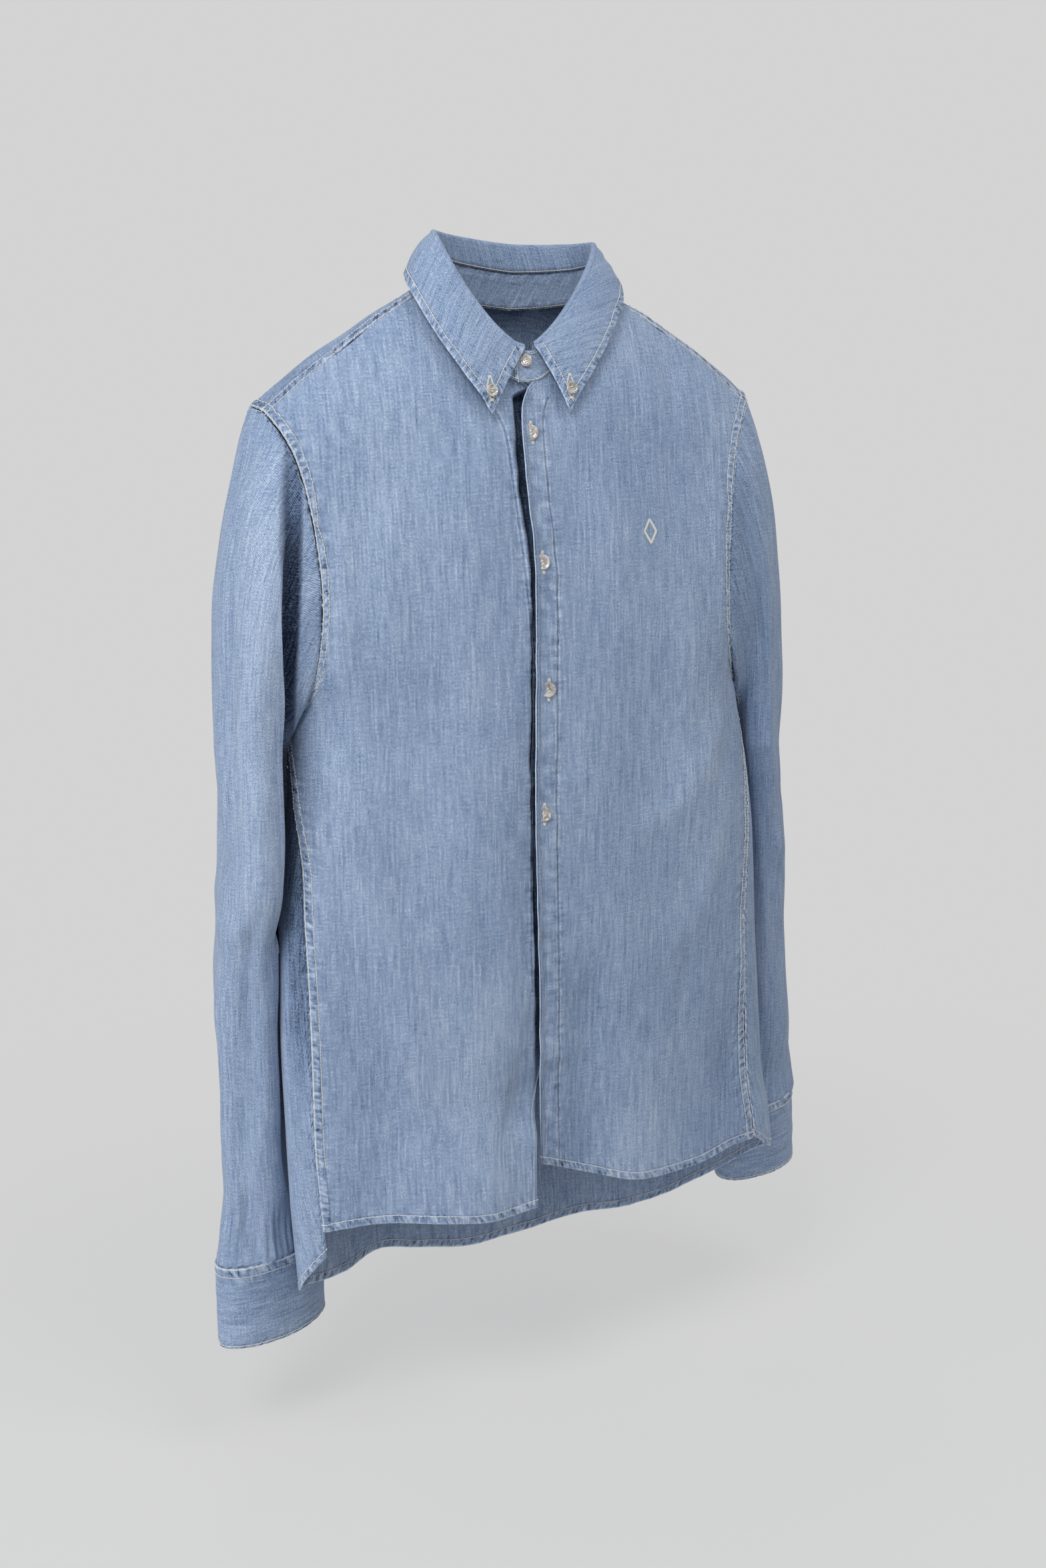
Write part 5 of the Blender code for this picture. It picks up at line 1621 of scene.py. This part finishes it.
cuffs = {}
for side, name in SIDES.items():
    drops = np.linspace(-CUFF_LAPS, CUFF_HEIGHT, 5)
    shares = crowded(230, (0.0, 0.03, 1.8), (1.0, 0.03, 1.8))
    rows = crowded(56, (0.0, 0.10, 1.6), (1.0, 0.06, 2.2))
    grid = grid_of(partial(cuff_point, side), drops, shares, rows)
    if side < 0:
        grid = grid[:, ::-1]
    relief, thick, run, share = sewn_edges(
        grid,
        seed=91 + side,
        first_row=(0.0074, 0.0003, 0.00034),
        last_row=(0.0024, 0.0, 0.00030),
        first_column=(0.0024, 0.0, 0.00022),
        last_column=(0.0024, 0.0, 0.00022),
    )
    around = lengths_along(grid, 1)
    relief += 0.0008 * unevenness(around, grid[..., 2], (0.09, 0.10), 92 + side)
    relief += 0.0003 * unevenness(around, grid[..., 2], (0.03, 0.022), 94 + side)
    made = cloth_piece(
        f"cuff_band_{name}",
        grid,
        relief,
        0.0011 + 0.0008 * ease(share, 0, 0.6),
        chambray(f"chambray {name} cuff", 25.0 + side, -0.01),
        (-grid[..., 2], -around),
        (run, share),
    )
    cuffs[side] = made
    rows = [along_edge(made, "first_row", gap) for gap in CUFF_ROWS]
    rows += [along_edge(made, edge, 0.0020) for edge in ("last_row", "first_column", "last_column")]
    stitches = topstitched(f"cuff_stitches_{name}", rows, 16 + side, **CLOSE_STITCHES)
    finished(made, f"cuff_{name}", [stitches])

# Buttonholes
# Worked in cream thread: two close rows of stitches beside a cut, with a bar across each end. The front
# ones stand upright in the left band, and the one in the collar band lies level.


def steady_facing(made, spot, reach=0.006):
    """The direction that the cloth faces round a spot, averaged over its small wrinkles."""
    gaps = np.linalg.norm(made["points"].reshape(-1, 3) - spot, axis=1)
    near = gaps < max(reach, gaps.min() * 1.5)
    facing = made["facing"].reshape(-1, 3)[near].mean(axis=0)
    return facing / np.linalg.norm(facing)


def draped(made, points, lift, facing):
    """The points moved along facing onto the cloth, and lifted off it."""
    cloth, faces = made["points"].reshape(-1, 3), made["facing"].reshape(-1, 3)
    laid = []
    for point in np.asarray(points, float):
        flat = cloth - point
        aside = np.linalg.norm(flat - (flat @ facing)[:, None] * facing, axis=1)
        aside += 10 * (np.abs(flat @ facing) > 0.008)
        k = int(np.argmin(aside))
        depth = ((cloth[k] - point) @ faces[k]) / max(0.3, facing @ faces[k])
        laid.append(point + facing * (depth + lift))
    return np.array(laid)


def axes_at(facing, upward):
    """(across, up) on cloth that faces so, where up is as near to upward as the cloth allows."""
    up_cloth = np.asarray(upward, float) - facing * (np.asarray(upward, float) @ facing)
    up_cloth /= np.linalg.norm(up_cloth)
    return np.cross(up_cloth, facing), up_cloth


UP = (0.0, 0.0, 1.0)
CUT_HALF = 0.00055  # half the width of a buttonhole's cut with no button in it
CUT_TO_SIDE = 0.00045  # from the cut to the middle of the stitches beside it
CUT_TO_BAR = 0.0004  # and of those across its ends
BULGE_PLACE = 0.001  # above the middle, where a button spreads the cut most
BULGE_REACH = 0.005


def embroidered(name, made, rows, facing, lift, seed, thread=cream_thread, **sizes):
    """Stitches side by side across rows of points that are laid on the cloth."""
    lines = [(draped(made, row, lift, facing), np.tile(facing, (len(row), 1))) for row in rows]
    piece = topstitched(name, lines, seed, thread, Turn=math.pi / 2, **sizes)
    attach(piece, "root")


def work_buttonhole(name, made, spot, upward, above, below, spread=0.0, bar=0.0020, thread=cream_thread):
    """A buttonhole from above to below a spot. A button in it spreads its sides by so much."""
    facing = steady_facing(made, spot)
    across_cloth, up_cloth = axes_at(facing, upward)
    heights = np.linspace(-below, above, 26)
    opened = CUT_HALF + spread * bell(heights - BULGE_PLACE, BULGE_REACH)
    upper, lower = np.clip((above - heights) / 0.002, 0, 1), np.clip((heights + below) / 0.002, 0, 1)
    opened *= upper**0.6 * lower**0.6
    cut = spot + heights[:, None] * up_cloth
    sides = [cut + (way * (opened + CUT_TO_SIDE))[:, None] * across_cloth for way in (-1, 1)]
    sizes = {"Pitch": 0.00042, "Stitch_length": 0.0011, "Thread_radius": 0.00021}
    embroidered(f"{name}_sides", made, sides, facing, 0.0002, 21, thread, **sizes)
    steps = np.linspace(-0.0008, 0.0008, 5)
    ends = [above + CUT_TO_BAR, -below - CUT_TO_BAR]
    ends = [spot + (height + steps)[:, None] * up_cloth for height in ends]
    sizes = {"Pitch": 0.00036, "Stitch_length": bar, "Thread_radius": 0.00026, "Arch": 0.00026}
    embroidered(f"{name}_bars", made, ends, facing, 0.00045, 22, thread, **sizes)


# Buttons
# Small four-hole buttons of smoky, pearly plastic with a soft rim, sewn on with cream thread. Those down
# the front are half through their holes, so one half of each lies under the band.

FRONT_BUTTON = 0.0112
COLLAR_BUTTON = 0.0088
CUFF_BUTTON = 0.0112
BUTTON_THICK = 0.0026
FIRST_BUTTON = -0.108  # height of the uppermost on the fronts
BUTTON_STEP = 0.0893  # from one to the next


def pearl_material():
    """Smoky plastic with cloudy, pearly layers."""
    constants = {"Coat Weight": 1.0, "Coat Roughness": 0.06, "Transmission Weight": 0.18, "IOR": 1.52}
    material, tree, shader = new_material("smoky pearl", constants)
    place = add_node(tree, "ShaderNodeTexCoord").outputs["Object"]
    cloud = noise(tree, place, 210.0, 3.0, 1.4)
    layers = noise(tree, place, 900.0, 2.0, 3.0)
    amount = joined(tree, "ADD", cloud, joined(tree, "MULTIPLY", layers, 0.4), -0.2)
    stops = ((0.28, (0.27, 0.24, 0.22)), (0.5, (0.47, 0.44, 0.41)), (0.74, (0.80, 0.78, 0.76)))
    tree.links.new(colour_ramp(tree, amount, stops), shader.inputs["Base Color"])
    tree.links.new(rise(tree, layers, 0.3, 0.7, 0.06, 0.18), shader.inputs["Roughness"])
    tree.links.new(bumps(tree, layers, 0.12, 0.0002), shader.inputs["Normal"])
    return material


BUTTON_SIDES = 44
HOLE_SIDES = 12
HOLE_PLACE = 0.27  # from the button's middle to each hole's middle, in radii of the button
HOLE_RADIUS = 0.115  # in radii of the button

# A button's outline from the middle of its back round to the middle of its face, as shares of its size
BUTTON_OUTLINE = (
    (0.0, 0.0), (0.60, 0.0), (0.80, 0.05), (0.93, 0.22), (0.99, 0.45), (1.0, 0.60), (0.985, 0.78),
    (0.94, 0.93), (0.87, 1.0), (0.79, 0.97), (0.71, 0.86), (0.62, 0.76), (0.45, 0.71), (0.0, 0.70),
)


def ring_of(x, y, z, radius, sides):
    """Points round a level circle."""
    angles = [math.tau * k / sides for k in range(sides)]
    return [(x + radius * math.cos(angle), y + radius * math.sin(angle), z) for angle in angles]


def turned_button(diameter):
    """The mesh of a button lying on its back at the origin, with four holes through it."""
    r, t, sides = diameter / 2, BUTTON_THICK, BUTTON_SIDES
    points, faces = [(0, 0, 0)], []
    for radius, height in BUTTON_OUTLINE[1:-1]:
        points += ring_of(0, 0, height * t, radius * r, sides)
    points.append((0, 0, BUTTON_OUTLINE[-1][1] * t))
    rings = len(BUTTON_OUTLINE) - 2
    for k in range(sides):
        m = (k + 1) % sides
        faces.append((0, 1 + m, 1 + k))
        faces.append((1 + (rings - 1) * sides + k, 1 + (rings - 1) * sides + m, len(points) - 1))
        for n in range(rings - 1):
            low = 1 + n * sides
            faces.append((low + k, low + m, low + sides + m, low + sides + k))
    blank = new_mesh_object("blank", points, faces)
    points, faces = [], []
    for hole in range(4):
        angle = math.tau * (hole + 0.5) / 4
        x, y, start = HOLE_PLACE * r * math.cos(angle), HOLE_PLACE * r * math.sin(angle), len(points)
        for z in (-t, 2 * t):
            points += ring_of(x, y, z, HOLE_RADIUS * r, HOLE_SIDES)
        low = [start + k for k in range(HOLE_SIDES)]
        high = [k + HOLE_SIDES for k in low]
        faces += list(zip(low, low[1:] + low[:1], high[1:] + high[:1], high))
        faces += [tuple(low[::-1]), tuple(high)]
    drill = new_mesh_object("drill", points, faces)
    cut = blank.modifiers.new("holes", "BOOLEAN")
    cut.operation = "DIFFERENCE"
    cut.solver = "EXACT"
    cut.object = drill
    drilled = bpy.data.meshes.new_from_object(blank.evaluated_get(bpy.context.evaluated_depsgraph_get()))
    bpy.data.objects.remove(blank)
    bpy.data.objects.remove(drill)
    return drilled


def thread_tree():
    """Plain round thread along each line."""
    tree, given, line = new_tree("thread", [("Thread radius", "Float", 0.00022)])
    return end_tree(tree, round_thread(tree, line, 6, given["Thread radius"]), given["Thread"])


pearl = pearl_material()
plain_thread = thread_tree()
blanks = {size: turned_button(size) for size in (FRONT_BUTTON, COLLAR_BUTTON)}


def sew_button(name, node, made, spot, diameter, twist, lift=0.0002, tilt=0.0):
    """A button on the cloth at a spot, in the frame for its node, with its thread.

    Tilt, in degrees, sinks the half on the wearer's right."""
    facing = steady_facing(made, spot, 0.008)
    seat = draped(made, [spot], lift, facing)[0]
    turn = Matrix(np.array([*axes_at(facing, UP), facing]).T.tolist()).to_4x4()
    lean = Matrix.Rotation(math.radians(-tilt), 4, "Y")
    place = Matrix.Translation(Vector(seat)) @ turn @ lean @ Matrix.Rotation(twist, 4, "Z")
    mesh = blanks[diameter].copy()
    mesh.name = name
    mesh.transform(place)
    mesh.materials.clear()
    mesh.materials.append(pearl)
    mesh.shade_smooth()
    mesh.set_sharp_from_angle(angle=math.radians(50))
    button = bpy.data.objects.new(name, mesh)
    scene.collection.objects.link(button)
    hole = HOLE_PLACE * diameter / 2 * math.cos(math.pi / 4)
    lines = []
    for way in (-1, 1):
        for strand in (-0.35, 0.0, 0.35):
            steps = np.linspace(-1, 1, 9)
            x = steps * hole * 1.06
            y = np.full(9, way * hole + strand * 0.0006)
            z = BUTTON_THICK * (0.62 + 0.26 * (1 - steps**4))
            local = [tuple(place @ Vector(point)) for point in zip(x, y, z)]
            lines.append((np.array(local), np.tile(facing, (9, 1))))
    thread = sewn(f"{name}_thread", lines, plain_thread, Thread=cream_thread, Thread_radius=0.00024)
    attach(button, "root")
    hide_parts(node)
    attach(thread, "root")


for number, tilt in enumerate((30, 24, 24, 28, 8)):
    height = FIRST_BUTTON - number * BUTTON_STEP
    across = read(CLOSING, "buttons", height)
    middle = Vector((across, -read(CLOSING, "depth", height), height))
    spot = hang(np.array(parted(1, middle, read(CLOSING, "left_edge", height))))
    reach, thread, lift, aside = 0.0068, cream_thread, -0.0012, 0.0
    if number == 4:
        # The lowest button has slipped back under the band, whose last hole is small and worked in blue
        reach, thread, lift, aside = 0.0032, blue_thread, -0.0036, 0.005
    work_buttonhole(f"front_hole_{number + 1}", fronts[1], spot, UP, reach, reach, thread=thread)
    beside = spot + np.array((aside, 0.0, 0.0))
    name, node = f"front_button_{number + 1}", f"button_front_{number + 1}"
    sew_button(name, node, fronts[1], beside, FRONT_BUTTON, 0.3 * number, lift, tilt)

spot = hang(np.array(stand_point(-360, 0.66)))
sideways = hang(np.array(stand_point(-363, 0.74))) - spot
work_buttonhole("collar_hole", stand, spot, sideways, 0.0082, 0.0040)
sew_button("neck_button", "button_neck", stand, spot, COLLAR_BUTTON, twist=0.5, tilt=38)

for side, name in SIDES.items():
    spot = hang(np.array(leaf_point(side, 7, 0.88)))
    work_buttonhole(f"collar_{name}_hole", leaf, spot, UP, 0.0093, 0.0058, spread=0.0020, bar=0.0026)
    button, node = f"collar_button_{name}", f"button_collar_{name}"
    sew_button(button, node, leaf, spot, COLLAR_BUTTON, twist=0.35 * side)
    share = 1 - 0.5 * CUFF_LAP / (360 + CUFF_LAP)
    spot = hang(np.array(cuff_point(side, share, CUFF_HEIGHT / 2)))
    sideways = hang(np.array(cuff_point(side, share - 0.01, CUFF_HEIGHT / 2))) - spot
    work_buttonhole(f"cuff_{name}_hole", cuffs[side], spot, sideways, 0.0070, 0.0060)
    button, node = f"cuff_button_{name}", f"button_cuff_{name}"
    sew_button(button, node, cuffs[side], spot, CUFF_BUTTON, twist=0.6)

# Embroidery
# A small open lozenge in cream satin stitch on the wearer's left chest: a plain shape, with no letters. Its
# four rows are worked through the front's one layer of cloth.

LOZENGE_PLACE = (0.0875, -0.180)
LOZENGE_HALF = (0.0055, 0.0085)  # half its width and height

away = fronts[1]["grid"][..., [0, 2]] - np.array(LOZENGE_PLACE)
nearest = int(np.argmin(np.linalg.norm(away.reshape(-1, 2), axis=1)))
spot = fronts[1]["points"].reshape(-1, 3)[nearest]
facing = steady_facing(fronts[1], spot)
across_cloth, up_cloth = axes_at(facing, UP)
wide, tall = LOZENGE_HALF
corners = ((0, tall), (wide, 0), (0, -tall), (-wide, 0), (0, tall))
outline = []
for (x0, z0), (x1, z1) in zip(corners, corners[1:]):
    steps = np.linspace(0, 1, 8)[:, None]
    outline.append(spot + mix(x0, x1, steps) * across_cloth + mix(z0, z1, steps) * up_cloth)
embroidered("lozenge", fronts[1], outline, facing, 0.0003, 31, Pitch=0.00038, Stitch_length=0.0017,
            Thread_radius=0.00022)
